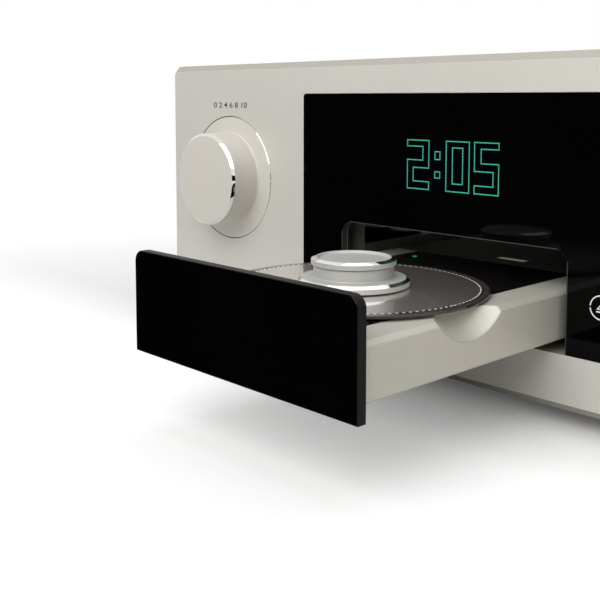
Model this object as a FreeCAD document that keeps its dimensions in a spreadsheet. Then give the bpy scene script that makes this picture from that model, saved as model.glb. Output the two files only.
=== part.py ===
import FreeCAD, Part
import math
import os
import re
import Sketcher
from FreeCAD import Placement, Rotation, Vector

# Disc player with a powered drawer, drawn with the drawer open.
# X is to the right, Y to the back and Z up. The floor is Z 0, and the sizes that
# name a depth are measured from the front face of the fascia.

DIMENSIONS = {
    # casework
    "panel_width": 450,
    "overall_height": 168,
    "foot_height": 8.3,
    "base_lift": 1.2,
    "panel_depth": 18,
    "panel_chamfer": 3.7,
    "panel_corner": 6,
    "case_depth": 380,
    "side_inset": 1.5,
    "side_wall": 6,
    "cover_wall": 3,
    "base_wall": 2,
    "rear_wall": 3,
    "vent_pitch": 9,
    "vent_width": 3,
    "vent_length": 110,
    "vent_start": 150,
    "cover_vents": 14,
    "cover_vent_across": 120,
    "base_vents": 9,
    "base_vent_across": 110,
    "screw_head": 3.2,
    "screw_head_height": 1.8,
    "screw_shank": 1.5,
    "screw_seat": 0.8,
    "screw_edge": 15,
    "head_gap": 0.2,
    "rear_screw_inset": 6,
    "rear_screw_rise": 18,
    "rear_screw_drop": 14,
    "top_screw_across": 80,
    "top_screw_drop": 8,
    "foot_inset": 45,
    "foot_front": 45,
    "foot_behind": 45,
    "foot_radius": 23,
    "foot_edge": 1.5,
    "foot_lift": 0.8,
    "foot_pad_radius": 17.8,
    "foot_pad_thickness": 2,
    "foot_pad_gap": 0.2,
    "cut_spare": 1,
    # front glass, display and drawer opening
    "glass_width": 198,
    "glass_margin": 18.2,
    "glass_depth": 4,
    "glass_gap": 0.15,
    "glass_corner": 2,
    "ledge_height": 34.2,
    "opening_headroom": 18.6,
    "opening_corner": 6,
    "window_width": 124,
    "window_height": 37,
    "window_margin": 16.8,
    "screen_gap": 1,
    "board_wall": 1.6,
    "board_edge": 8,
    "screen_behind": 0.3,
    "chip_width": 24,
    "chip_height": 20,
    "chip_depth": 3,
    "plug_inset": 10,
    "plug_width": 12,
    "plug_height": 28,
    "plug_depth": 8,
    # knobs and their encoders
    "knob_inset": 60.5,
    "knob_height": 98.7,
    "knob_radius": 27.6,
    "knob_face": 25.2,
    "knob_reach": 20,
    "knob_bevel": 1.6,
    "knob_flange": 37.4,
    "knob_rise": 1.2,
    "knob_sink": 3,
    "knob_gap": 0.4,
    "knob_push": 1.5,
    "recess_depth": 5,
    "shaft_radius": 3,
    "shaft_grip": 12,
    "sleeve_radius": 4,
    "bush_radius": 6,
    "encoder_width": 16,
    "encoder_depth": 10,
    "running_gap": 0.05,
    "bush_gap": 1,
    "shaft_end_gap": 1,
    "bore_spare": 0.3,
    # drawer front and tray
    "drawer_overhang": 3.5,
    "drawer_gap": 0.5,
    "drawer_depth": 4.4,
    "drawer_corner": 5,
    "drawer_bevel": 0.3,
    "tray_margin": 4.3,
    "tray_lift": 6,
    "tray_height": 22,
    "tray_chamfer_across": 2.3,
    "tray_chamfer_down": 2,
    "tray_rear": 150,
    "tray_wall": 14.3,
    "cavity_front": 10,
    "cavity_rear": 6,
    "tray_deck": 1.5,
    "disc_margin": 5.4,
    "disc_stop": 3.5,
    "scoop_radius": 30.4,
    "scoop_offset": 13,
    "scoop_depth": 10.6,
    "plate_width": 96,
    "plate_front": 3,
    "plate_rear": 40,
    "plate_depth": 2,
    "lamp_across": 38,
    "lamp_depth": 25,
    "lamp_radius": 1.2,
    "lamp_proud": 0.2,
    "bar_across": 4,
    "bar_depth": 55,
    "bar_width": 21,
    "bar_height": 4,
    "bar_sink": 1.5,
    "bar_proud": 0.1,
    "under_wall": 1.2,
    "under_lip": 4,
    # runners, rails and frame
    "runner_width": 7.5,
    "runner_drop": 3.8,
    "runner_height": 14,
    "runner_length": 80,
    "runner_inset": 10,
    "rail_thickness": 3,
    "rail_entry": 5.2,
    "rail_gap": 0.3,
    "frame_gap": 6.7,
    "frame_wall": 1.5,
    "frame_drop": 14.2,
    "frame_front": 22,
    "frame_spare": 16.7,
    "frame_rise": 1.8,
    "motor_hole": 2,
    "pin_headroom": 0.7,
    "pin_spare": 0.4,
    "damper_edge": 10,
    "damper_radius": 7,
    "damper_inset": 13,
    # disc, puck and turntable
    "disc_radius": 60,
    "disc_hole": 7.5,
    "disc_thickness": 1.2,
    "disc_rise": 1.1,
    "table_radius": 14.5,
    "table_depth": 2.4,
    "boss_radius": 5,
    "boss_height": 4,
    "hub_taper": 2,
    "hub_gap": 0.15,
    "hub_rise": 2.7,
    "table_gap": 2,
    "slot_half": 8,
    "slot_reach": 59.5,
    "spindle_radius": 1.25,
    "puck_pad": 0.6,
    "pad_radius": 23,
    "puck_flange": 24.8,
    "puck_flange_top": 4.2,
    "puck_flange_bevel": 1.4,
    "puck_flange_crown": 0.2,
    "puck_neck": 17.9,
    "puck_ring": 18.95,
    "puck_ring_bottom": 9.8,
    "puck_ring_bevel": 12,
    "puck_height": 12.9,
    "puck_face": 16.8,
    "puck_dish": 1.1,
    "puck_rim": 1.5,
    "puck_groove": 0.5,
    "puck_bore": 9,
    "pad_inset": 1,
    "magnet_radius": 8,
    "magnet_depth": 3.5,
    "magnet_height": 3.6,
    # pickup drive inside the tray
    "drive_wall": 1.5,
    "grommet_height": 2.2,
    "motor_radius": 13,
    "motor_height": 11,
    "motor_end": 1,
    "shaft_foot_gap": 0.2,
    "spindle_hole": 6,
    "drive_width": 84,
    "drive_front": 14,
    "drive_spare": 4,
    "grommet_radius": 4,
    "grommet_across": 36,
    "grommet_front": 20,
    "grommet_behind": 6,
    "sled_window": 11,
    "window_gap": 0.5,
    "rod_across": 19,
    "rod_radius": 1.5,
    "rod_drop": 3.5,
    "rod_offset": 13,
    "rod_span": 70.5,
    "rod_seat": 3,
    "clip_length": 4.5,
    "clip_width": 7,
    "clip_drop": 5,
    "screw_across": 31,
    "screw_drop": 5.5,
    "screw_ahead": 8,
    "screw_behind": 4,
    "sled_motor_radius": 5.5,
    "sled_motor_length": 19,
    "sled_motor_gap": 1,
    "bracket_width": 9,
    "bracket_depth": 4,
    "lens_start": 24,
    "laser_travel": 31,
    "lens_wall": 0.8,
    "lens_thickness": 1.8,
    "sled_length": 18,
    "sled_ahead": 8.5,
    "sled_thickness": 6,
    "sled_edge": 4,
    "nut_width": 8,
    "nut_height": 6,
    "coil_width": 14,
    "coil_gap": 0.5,
    "lens_radius": 3.4,
    # drawer drive
    "rack_across": 38,
    "rack_width": 8,
    "rack_height": 5,
    "rack_front_spare": 9.7,
    "rack_rear_spare": 12,
    "rack_module": 1,
    "wheel_module": 0.8,
    "pinion_teeth": 20,
    "wheel_teeth": 36,
    "small_teeth": 18,
    "tooth_play": 0.2,
    "pinion_depth": 40,
    "mesh_angle": 20,
    "pin_radius": 1.5,
    "gear_hub": 5,
    "wheel_rise": 3.5,
    "wheel_height": 3,
    "pinion_rise": 0.2,
    "pinion_trim": 0.5,
    "belt_rise": 0.4,
    "belt_pulley_height": 2.6,
    "belt_width": 2,
    "belt_inset": 0.3,
    "belt_pulley": 15,
    "motor_pulley": 4.5,
    "belt_gap": 0.15,
    "belt_thickness": 1.2,
    "motor_across": 38,
    "motor_depth": 60,
    "loading_radius": 12,
    "motor_rise": 1.5,
    "motor_end_wall": 1.5,
    "motor_shaft_radius": 1,
    "motor_shaft_foot": 2,
    "motor_shaft_tip": 0.6,
    # power, boards and sockets
    "transformer_radius": 44,
    "transformer_height": 50,
    "cap_inset": 8,
    "cap_height": 3,
    "power_inset": 67.5,
    "power_behind": 95,
    "capacitor_radius": 11,
    "capacitor_height": 42,
    "capacitor_pitch": 28,
    "capacitor_step": 30,
    "capacitor_behind": 200,
    "main_board_height": 22,
    "board_gap": 10,
    "board_ahead": 270,
    "board_rear_gap": 3,
    "board_side_gap": 5.5,
    "post_inset": 6,
    "post_radius": 3,
    "inlet_inset": 52.5,
    "inlet_height": 51,
    "inlet_width": 58,
    "inlet_tall": 30,
    "inlet_lip": 3,
    "inlet_depth": 30,
    "mouth_depth": 16,
    "mouth_offset": 11,
    "mouth_width": 24,
    "mouth_height": 17,
    "pin_pitch": 7,
    "pin_drop": 2,
    "pin_thickness": 2,
    "pin_height": 4,
    "pin_root": 18,
    "pin_tip": 5,
    "flange_wall": 2,
    "rocker_width": 12.4,
    "rocker_offset": 16,
    "well_width": 14,
    "well_height": 20.4,
    "pivot_depth": 4,
    "pivot_radius": 1.2,
    "pivot_half": 8,
    "pivot_end_gap": 0.2,
    "rocker_back": 4,
    "rocker_reach": 9.2,
    "rocker_lower": 2,
    "rocker_face": 3.6,
    "rocker_lip": 0.2,
    "rocker_nose": 6.2,
    "rocker_nose_height": 7.2,
    "rocker_upper": 2.6,
    "socket_height": 40,
    "coax_radius": 4.15,
    "coax_hole": 1.7,
    "coax_reach": 7,
    "coax_nut": 5.5,
    "coax_nut_depth": 1.5,
    "coax_stem": 3,
    "coax_stem_depth": 12,
    "coax_hole_depth": 6,
    "coax_gap": 18,
    "socket_pitch": 18,
    "data_pitch": 20,
    "data_inset": 21.5,
    "data_width": 16,
    "data_top": 40.4,
    "data_depth": 18,
    "data_proud": 0.8,
    "data_mouth_width": 11.8,
    "data_mouth_depth": 12,
    "data_mouth_bottom": 27,
    "data_mouth_top": 35.4,
    "balanced_gap": 39,
    "balanced_rise": 4,
    "balanced_radius": 10,
    "balanced_depth": 22,
    "balanced_flange_width": 26,
    "balanced_flange_height": 31,
    "balanced_well": 8.6,
    "balanced_well_depth": 14,
    "balanced_pin": 1.2,
    "balanced_pin_pitch": 3.5,
    "balanced_pin_rise": 2,
    "balanced_pin_root": 16,
    "balanced_pin_tip": 4,
    "lens_gap": 1,
}

FUNCTIONS = ("sqrt", "cos", "sin")
TURN = {
    "x": Rotation(Vector(0, 1, 0), 90),
    "y": Rotation(Vector(1, 0, 0), -90),
    "z": Rotation(),
    "front": Rotation(Vector(1, 0, 0), 90),
}
PRESSURE_ANGLE = math.radians(20)
ROOT_DEPTH = 1.25
FLANK_CHORDS = 4

doc = FreeCAD.newDocument("cd_transport")
sheet = doc.addObject("Spreadsheet::Sheet", "Dims")
for row, (word, size) in enumerate(DIMENSIONS.items(), 1):
    sheet.set(f"A{row}", word)
    sheet.set(f"B{row}", str(size))
    sheet.setAlias(f"B{row}", word)
doc.recompute()

sub_parts = []

# Places that several pieces share, as sums of the sheet's sizes
TRAY_BOTTOM = "(ledge_height + tray_lift)"
TRAY_TOP = f"({TRAY_BOTTOM} + tray_height)"
OPENING_TOP = f"({TRAY_TOP} + opening_headroom)"
TRAVEL = "(drawer_depth + disc_margin + 2 * disc_radius + disc_stop)"
REAR_REACH = "(case_depth + coax_reach)"
SHIFT = f"(({REAR_REACH} - {TRAVEL}) / 2)"
SIDE = "(panel_width / 2 - side_inset)"
INNER_SIDE = f"({SIDE} - side_wall)"
KNOB_ACROSS = "(panel_width / 2 - knob_inset)"
GLASS_TOP = "(overall_height - glass_margin)"
WINDOW_TOP = f"({GLASS_TOP} - window_margin)"
WINDOW_BOTTOM = f"({WINDOW_TOP} - window_height)"
COVER_BOTTOM = "(overall_height - side_inset - cover_wall)"
CASE_FLOOR = "(foot_height + base_lift)"
FLOOR_TOP = f"({CASE_FLOOR} + base_wall)"
TRAY_FRONT = f"(drawer_depth - {TRAVEL})"
DISC_DEPTH = "(-disc_radius - disc_stop)"
DISC_LEVEL = f"({TRAY_TOP} + disc_rise)"
DISC_TOP = f"({DISC_LEVEL} + disc_thickness)"
TRAY_SIDE = "(disc_radius + tray_margin)"
DRAWER_WIDTH = f"(2 * ({TRAY_SIDE} + drawer_overhang))"
OPENING_WIDTH = f"({DRAWER_WIDTH} + 2 * drawer_gap)"
CAVITY_SIDE = f"({TRAY_SIDE} - tray_wall)"
CAVITY_TOP = f"({TRAY_TOP} - plate_depth - tray_deck)"
DRIVE_TOP = f"({CAVITY_TOP} - grommet_height)"
DRIVE_BOTTOM = f"({DRIVE_TOP} - drive_wall)"
ROD_LEVEL = f"({DRIVE_BOTTOM} - rod_drop)"
SCREW_LEVEL = f"({DRIVE_BOTTOM} - screw_drop)"
ROD_START = f"({DISC_DEPTH} + rod_offset)"
ROD_END = f"({ROD_START} + rod_span)"
RUNNER_SIDE = f"({TRAY_SIDE} + runner_width)"
RUNNER_LOW = f"({TRAY_BOTTOM} + runner_drop)"
RAIL_LEVEL = f"({RUNNER_LOW} + runner_height / 2 - rail_thickness / 2)"
FRAME_FLOOR = f"({TRAY_BOTTOM} - frame_drop)"
FRAME_TOP = f"({FRAME_FLOOR} + frame_wall)"
WALL_TOP = f"({TRAY_TOP} + frame_rise)"
FRAME_INNER = f"({RUNNER_SIDE} + frame_gap)"
FRAME_OUTER = f"({FRAME_INNER} + frame_wall)"
FRAME_REAR = f"(tray_rear + {TRAVEL} + frame_spare)"
LENS_DEPTH = f"({DISC_DEPTH} + lens_start)"
PINION_ACROSS = "(rack_module * pinion_teeth / 2 - rack_across)"
MESH_REACH = "(wheel_module * (wheel_teeth + small_teeth) / 2)"
PULLEY_ACROSS = f"({PINION_ACROSS} + {MESH_REACH} * cos(mesh_angle * 1 deg))"
PULLEY_DEPTH = f"(pinion_depth + {MESH_REACH} * sin(mesh_angle * 1 deg))"
BELT_LEVEL = f"({FRAME_TOP} + belt_rise)"
BELT_TOP = f"({BELT_LEVEL} + belt_pulley_height)"
WHEEL_LEVEL = f"({FRAME_TOP} + wheel_rise)"
WHEEL_TOP = f"({WHEEL_LEVEL} + wheel_height)"
RACK_BOTTOM = f"({TRAY_BOTTOM} - rack_height)"
POWER_ACROSS = f"({INNER_SIDE} - power_inset)"
INLET_ACROSS = f"({INNER_SIDE} - inlet_inset)"
BOARD_SIDE = f"({FRAME_OUTER} + board_gap)"
BOARD_TOP = "(main_board_height + board_wall)"
DATA_START = f"({INNER_SIDE} - data_inset - 2 * data_pitch)"
COAX_START = f"({DATA_START} - coax_gap - 3 * socket_pitch)"
BALANCED_SPOT = (f"({COAX_START} - balanced_gap)", "(socket_height + balanced_rise)")


def on_sheet(text):
    """Point each word of a sum at its cell of the sheet."""
    def cell(found):
        word = found.group()
        return word if word in FUNCTIONS or word == "deg" else "Dims." + word
    return re.sub(r"[a-z][a-z_]+", cell, text)


def number(text):
    """The value of a sum of the sheet's sizes."""
    return float(sheet.evalExpression(on_sheet(text)))


def bind(thing, name, text):
    """Tie a property to a sum of the sheet's sizes."""
    thing.setExpression(name, on_sheet(text))


def place(thing, x, y, z):
    """Tie a thing's place to three sums; depths move with the drawer's centring shift."""
    bind(thing, ".Placement.Base.x", x)
    bind(thing, ".Placement.Base.y", f"({y}) - {SHIFT}")
    bind(thing, ".Placement.Base.z", z)


def keep(label, thing):
    """Note a finished piece under the name that its file takes."""
    thing.Label = label
    sub_parts.append(thing)
    return thing


def about(centre, width):
    """The two ends of a width laid evenly about a centre."""
    return f"({centre}) - ({width}) / 2", f"({centre}) + ({width}) / 2"


def block(x, y, z):
    """A box between two sums along each axis."""
    made = doc.addObject("Part::Box", "block")
    for (low, high), size in zip((x, y, z), ("Length", "Width", "Height")):
        bind(made, size, f"({high}) - ({low})")
    place(made, x[0], y[0], z[0])
    return made


def rod(radius, axis, at, start, end):
    """A cylinder along an axis, through a point given by its other two coordinates."""
    made = doc.addObject("Part::Cylinder", "rod")
    bind(made, "Radius", radius)
    bind(made, "Height", f"({end}) - ({start})")
    made.Placement = Placement(Vector(), TURN[axis])
    where = list(at)
    where.insert("xyz".index(axis), start)
    place(made, *where)
    return made


def ball(radius, x, y, z):
    """A ball about a point."""
    made = doc.addObject("Part::Sphere", "ball")
    bind(made, "Radius", radius)
    place(made, x, y, z)
    return made


def ring(outer, inner, axis, at, start, end):
    """A tube: one rod less a thinner one."""
    return cut(rod(outer, axis, at, start, end), rod(inner, axis, at, start, end))


def joined(*pieces):
    """One solid from pieces that overlap or meet."""
    made = doc.addObject("Part::MultiFuse", "joined")
    made.Shapes = list(pieces)
    made.Refine = True
    return made


def together(*pieces):
    """Separate solids that share one name."""
    made = doc.addObject("Part::Compound", "together")
    made.Links = list(pieces)
    return made


def cut(base, *tools):
    """A piece less its cutting shapes."""
    made = doc.addObject("Part::Cut", "cut")
    made.Base = base
    made.Tool = tools[0] if len(tools) == 1 else together(*tools)
    return made


def new_sketch(body, plane, forward="0"):
    """An empty sketch on one of the body's own planes, moved along its normal."""
    planes = {feature.Role: feature for feature in body.Origin.OriginFeatures}
    sketch = body.newObject("Sketcher::SketchObject", "outline")
    sketch.AttachmentSupport = [(planes[plane], "")]
    sketch.MapMode = "FlatFace"
    bind(sketch, ".AttachmentOffset.Base.z", forward)
    return sketch


def hold(sketch, kind, line, text):
    """Hold the start of a line at a distance from the sketch's origin."""
    value = number(text)
    if abs(value) < 1e-9:
        axis = -2 if kind == "DistanceX" else -1
        sketch.addConstraint(Sketcher.Constraint("PointOnObject", line, 1, axis))
        return
    index = sketch.addConstraint(Sketcher.Constraint(kind, -1, 1, line, 1, value))
    bind(sketch, f"Constraints[{index}]", text)


def draw_lines(sketch, points):
    """A closed outline of straight lines, with each corner held by its two sizes."""
    places = [Vector(number(x), number(y), 0) for x, y in points]
    count = len(places)
    for line, start in enumerate(places):
        sketch.addGeometry(Part.LineSegment(start, places[(line + 1) % count]), False)
    for line in range(count):
        sketch.addConstraint(Sketcher.Constraint("Coincident", line, 2, (line + 1) % count, 1))
    for line, (x, y) in enumerate(points):
        hold(sketch, "DistanceX", line, x)
        hold(sketch, "DistanceY", line, y)


def draw_circle(sketch, radius, x, y):
    """A circle held by its centre and its radius."""
    centre = Vector(number(x), number(y), 0)
    circle = sketch.addGeometry(Part.Circle(centre, Vector(0, 0, 1), number(radius)), False)
    for kind, value, text in (("DistanceX", centre.x, x), ("DistanceY", centre.y, y)):
        index = sketch.addConstraint(Sketcher.Constraint(kind, -1, 1, circle, 3, value))
        bind(sketch, f"Constraints[{index}]", text)
    index = sketch.addConstraint(Sketcher.Constraint("Radius", circle, number(radius)))
    bind(sketch, f"Constraints[{index}]", radius)


def rectangle(x, z):
    """The corners of a rectangle between two sums each way."""
    return [(x[0], z[0]), (x[1], z[0]), (x[1], z[1]), (x[0], z[1])]


def plate(outline, depth, y="0"):
    """A plate that faces the front, as thick as its depth."""
    return extrusion("XZ_Plane", True, outline, depth, ("0", y, "0"))


def bar_along_x(outline, length, at):
    """A bar from left to right, with an outline of depth and height."""
    return extrusion("YZ_Plane", False, outline, length, at)


def extrusion(plane, backwards, outline, length, at):
    body = doc.addObject("PartDesign::Body", "extrusion")
    sketch = new_sketch(body, plane)
    draw_lines(sketch, outline)
    pad = body.newObject("PartDesign::Pad", "pad")
    pad.Profile = sketch
    pad.Reversed = backwards
    bind(pad, "Length", length)
    place(body, *at)
    doc.recompute()
    return body


def pocket(body, depth, outline=None, circle=None):
    """Cut an outline or a circle into a plate from its front face, and check that it cut."""
    before = body.Shape.Volume
    sketch = new_sketch(body, "XZ_Plane")
    if outline:
        draw_lines(sketch, outline)
    if circle:
        draw_circle(sketch, *circle)
    made = body.newObject("PartDesign::Pocket", "pocket")
    made.Profile = sketch
    bind(made, "Length", depth)
    doc.recompute()
    if body.Shape.Volume > before - 1:
        raise RuntimeError(f"a pocket in {body.Label} cut nothing")


def corner_edges(body, corners):
    """Names of the edges that run from front to back through the given corners."""
    spots = [(number(x), number(z)) for x, z in corners]
    names = []
    for index, edge in enumerate(body.Tip.Shape.Edges, 1):
        ends = [vertex.Point for vertex in edge.Vertexes]
        for x, z in spots:
            if len(ends) == 2 and all(math.hypot(p.x - x, p.z - z) < 1e-4 for p in ends):
                names.append(f"Edge{index}")
    return names


def round_corners(body, radius, corners):
    """Round the corners of a plate."""
    edges = corner_edges(body, corners)
    if not edges:
        raise RuntimeError(f"no corner to round in {body.Label}")
    base = body.Tip
    made = body.newObject("PartDesign::Fillet", "corners")
    made.Base = (base, edges)
    bind(made, "Radius", radius)
    doc.recompute()


def bevel_front(body, size):
    """Bevel every edge round the front face of a plate."""
    faces = body.Tip.Shape.Faces
    front = min(range(len(faces)), key=lambda i: faces[i].CenterOfMass.y)
    base = body.Tip
    made = body.newObject("PartDesign::Chamfer", "bevel")
    made.Base = (base, [f"Face{front + 1}"])
    bind(made, "Size", size)
    doc.recompute()


def turned(profile, axis, at, start):
    """A turned piece: an outline of radius and height, spun about its own axis."""
    body = doc.addObject("PartDesign::Body", "turned")
    sketch = new_sketch(body, "XZ_Plane")
    draw_lines(sketch, profile)
    spin = body.newObject("PartDesign::Revolution", "spin")
    spin.Profile = sketch
    spin.ReferenceAxis = (sketch, ["V_Axis"])
    spin.Angle = 360
    body.Placement = Placement(Vector(), TURN[axis])
    where = list(at)
    where.insert("xyz".index("y" if axis == "front" else axis), start)
    place(body, *where)
    return body


def tooth_face(teeth, module, turn):
    """The outline of a spur gear: involute flanks as short chords, thinned for play."""
    pitch = module * teeth / 2
    base = pitch * math.cos(PRESSURE_ANGLE)
    root = pitch - ROOT_DEPTH * module
    tip = pitch + module
    half = math.pi / (2 * teeth) - number("tooth_play") / 4 / pitch
    reach = math.tan(PRESSURE_ANGLE) - PRESSURE_ANGLE
    first = max(base, root)
    radii = [first + (tip - first) * step / FLANK_CHORDS for step in range(FLANK_CHORDS + 1)]
    flank = []
    for radius in radii:
        lean = math.acos(base / radius)
        flank.append((radius, half + reach - (math.tan(lean) - lean)))
    flank.insert(0, (root, flank[0][1]))
    points = []
    for tooth in range(teeth):
        centre = 2 * math.pi * tooth / teeth + math.radians(turn)
        side = [(r, centre - a) for r, a in flank]
        side += [(r, centre + a) for r, a in reversed(flank)]
        points += [Vector(r * math.cos(a), r * math.sin(a), 0) for r, a in side]
    points = [p for i, p in enumerate(points) if (p - points[i - 1]).Length > 1e-6]
    return Part.Face(Part.makePolygon(points + points[:1]))


def shaped(shape, x, y, z):
    """A piece whose shape comes from a formula, moved to its place."""
    made = doc.addObject("Part::Feature", "shaped")
    made.Shape = shape
    place(made, x, y, z)
    return made


def gear(teeth, module, turn, x, y, low, height):
    """A spur gear standing on its level."""
    face = tooth_face(int(number(teeth)), number(module), turn)
    return shaped(face.extrude(Vector(0, 0, number(height))), x, y, low)


# Casework

def make_fascia():
    sides = ("-panel_width / 2", "panel_width / 2")
    tops = ("foot_height", "overall_height")
    body = plate(rectangle(sides, tops), "panel_depth")
    round_corners(body, "panel_corner", rectangle(sides, tops))
    bevel_front(body, "panel_chamfer")
    glass = ("-glass_width / 2", "glass_width / 2")
    glass_top = f"{GLASS_TOP} + glass_gap"
    pocket(body, "glass_depth", rectangle(glass, ("ledge_height", glass_top)))
    round_corners(body, "glass_corner", [(x, glass_top) for x in glass])
    opening = about("0", OPENING_WIDTH)
    pocket(body, "panel_depth", rectangle(opening, ("ledge_height", OPENING_TOP)))
    round_corners(body, "opening_corner", [(x, OPENING_TOP) for x in opening])
    pocket(body, "panel_depth", rectangle(about("0", "window_width"), (WINDOW_BOTTOM, WINDOW_TOP)))
    for side in (f"-{KNOB_ACROSS}", KNOB_ACROSS):
        pocket(body, "recess_depth", circle=("knob_flange + knob_gap", side, "knob_height"))
        pocket(body, "panel_depth", circle=("bush_radius", side, "knob_height"))
    keep("fascia_panel", body)


def make_front_glass():
    edge = "(glass_width / 2 - glass_gap)"
    inner = f"({OPENING_WIDTH} / 2)"
    low = "(ledge_height + glass_gap)"
    outline = [
        (f"-{edge}", low),
        (f"-{inner}", low),
        (f"-{inner}", OPENING_TOP),
        (inner, OPENING_TOP),
        (inner, low),
        (edge, low),
        (edge, GLASS_TOP),
        (f"-{edge}", GLASS_TOP),
    ]
    body = plate(outline, "glass_depth")
    round_corners(body, "glass_corner", [(f"-{edge}", GLASS_TOP), (edge, GLASS_TOP)])
    round_corners(body, "opening_corner", [(f"-{inner}", OPENING_TOP), (inner, OPENING_TOP)])
    keep("front_glass", body)


def make_display():
    screen = block(
        about("0", "window_width - 2 * screen_gap"),
        ("glass_depth + screen_behind", "panel_depth"),
        (f"{WINDOW_BOTTOM} + screen_gap", f"{WINDOW_TOP} - screen_gap"),
    )
    keep("display_screen", screen)
    board = block(
        about("0", "window_width + 2 * board_edge"),
        ("panel_depth", "panel_depth + board_wall"),
        (f"{WINDOW_BOTTOM} - board_edge / 2", f"{WINDOW_TOP} + board_edge / 2"),
    )
    rear = "panel_depth + board_wall"
    middle = f"({WINDOW_BOTTOM} + {WINDOW_TOP}) / 2"
    chip = block(about("0", "chip_width"), (rear, f"{rear} + chip_depth"), about(middle, "chip_height"))
    plug_x = about("window_width / 2 - plug_inset", "plug_width")
    plug = block(plug_x, (rear, f"{rear} + plug_depth"), about(middle, "plug_height"))
    keep("display_board", joined(board, chip, plug))


def make_case():
    span = (CASE_FLOOR, COVER_BOTTOM)
    depth = ("panel_depth", "case_depth")
    keep("side_panel_left", block((f"-{SIDE}", f"-{INNER_SIDE}"), depth, span))
    keep("side_panel_right", block((INNER_SIDE, SIDE), depth, span))
    inside = (f"-{INNER_SIDE}", INNER_SIDE)
    base = block(inside, depth, (CASE_FLOOR, FLOOR_TOP))
    keep("base_plate", cut(base, *vents(CASE_FLOOR, FLOOR_TOP, "base_vents", "base_vent_across")))
    cover = block((f"-{SIDE}", SIDE), depth, (COVER_BOTTOM, f"{COVER_BOTTOM} + cover_wall"))
    seat = f"{COVER_BOTTOM} + screw_seat"
    spots = cover_screw_spots()
    sinks = [rod("screw_head + head_gap", "z", spot, seat, "overall_height") for spot in spots]
    holes = [rod("screw_shank", "z", spot, COVER_BOTTOM, "overall_height") for spot in spots]
    slots = vents(COVER_BOTTOM, "overall_height", "cover_vents", "cover_vent_across")
    keep("top_cover", cut(cover, *slots, *sinks, *holes))


def vents(low, high, count, across):
    """Two fields of slots, one on each side, cut through a plate."""
    slots = []
    y = ("vent_start", "vent_start + vent_length")
    z = (f"{low} - cut_spare", f"{high} + cut_spare")
    total = int(number(count))
    for side in (-1, 1):
        for step in range(total):
            x = f"{side} * {across} + {step - (total - 1) / 2} * vent_pitch"
            slots.append(block(about(x, "vent_width"), y, z))
    return slots


def cover_screw_spots():
    """Where the cover is held down: three screws along each side."""
    line = f"({SIDE} - side_wall / 2)"
    depths = ("panel_depth + screw_edge", "(panel_depth + case_depth) / 2", "case_depth - screw_edge")
    return [(f"{side}{line}", y) for side in ("-", "") for y in depths]


def rear_screw_spots():
    """Where the rear panel is held: three screws up each side and two at the top."""
    line = f"({INNER_SIDE} - rear_screw_inset)"
    low = f"{FLOOR_TOP} + rear_screw_rise"
    high = f"{COVER_BOTTOM} - rear_screw_drop"
    heights = (low, f"({FLOOR_TOP} + {COVER_BOTTOM}) / 2", high)
    spots = [(f"{side}{line}", z) for side in ("-", "") for z in heights]
    top = f"{COVER_BOTTOM} - top_screw_drop"
    return spots + [("-top_screw_across", top), ("top_screw_across", top)]


def make_screws():
    """Round-headed case screws, all alike."""
    seat = f"{COVER_BOTTOM} + screw_seat"
    inner_face = "case_depth - rear_wall"
    screws = [case_screw("z", spot, COVER_BOTTOM, seat) for spot in cover_screw_spots()]
    screws += [case_screw("y", spot, inner_face, "case_depth") for spot in rear_screw_spots()]
    keep("case_screws", together(*screws))


def case_screw(axis, spot, tip, seat):
    head = rod("screw_head", axis, spot, seat, f"{seat} + screw_head_height")
    return joined(head, rod("screw_shank", axis, spot, tip, seat))


def make_feet():
    across = "(panel_width / 2 - foot_inset)"
    depths = ("foot_front", "case_depth - foot_behind")
    spots = [(x, y) for x in (f"-{across}", across) for y in depths]
    bed = "foot_pad_radius + foot_pad_gap"
    profile = [
        ("0", "foot_pad_thickness"),
        (bed, "foot_pad_thickness"),
        (bed, "foot_lift"),
        ("foot_radius - foot_edge", "foot_lift"),
        ("foot_radius", "foot_lift + foot_edge"),
        ("foot_radius", f"{CASE_FLOOR} - foot_edge"),
        ("foot_radius - foot_edge", CASE_FLOOR),
        ("0", CASE_FLOOR),
    ]
    feet = [turned(profile, "z", spot, "0") for spot in spots]
    keep("feet", together(*feet))
    pads = [rod("foot_pad_radius", "z", spot, "0", "foot_pad_thickness") for spot in spots]
    keep("foot_pads", together(*pads))


# Knobs

def make_knob(side, sign):
    """One knob: turned knob with its wide base, shaft, push sleeve and encoder body."""
    at = (f"{sign}{KNOB_ACROSS}", "knob_height")
    profile = [
        ("shaft_radius", "0"),
        ("knob_flange", "0"),
        ("knob_flange", "knob_sink"),
        ("knob_radius", "knob_sink + knob_rise"),
        ("knob_radius", "knob_sink + knob_reach - knob_bevel"),
        ("knob_face", "knob_sink + knob_reach"),
        ("0", "knob_sink + knob_reach"),
        ("0", "knob_sink + shaft_grip"),
        ("shaft_radius", "knob_sink + shaft_grip"),
    ]
    keep(f"knob_{side}", turned(profile, "front", at, "knob_sink"))
    rear = "(panel_depth + encoder_depth - knob_push - shaft_end_gap)"
    keep(f"knob_shaft_{side}", rod("shaft_radius", "y", at, "-shaft_grip", rear))
    hole = "shaft_radius + running_gap"
    sleeve = ring("sleeve_radius", hole, "y", at, "recess_depth + knob_push", rear)
    keep(f"push_sleeve_{side}", sleeve)
    bush = rod("bush_radius", "y", at, "recess_depth + bush_gap", "panel_depth")
    x = about(at[0], "encoder_width")
    z = about(at[1], "encoder_width")
    housing = block(x, ("panel_depth", "panel_depth + encoder_depth"), z)
    bore = rod("sleeve_radius + running_gap", "y", at, "0", f"{rear} + knob_push + bore_spare")
    keep(f"encoder_{side}", cut(joined(bush, housing), bore))


# Drawer front and tray

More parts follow.
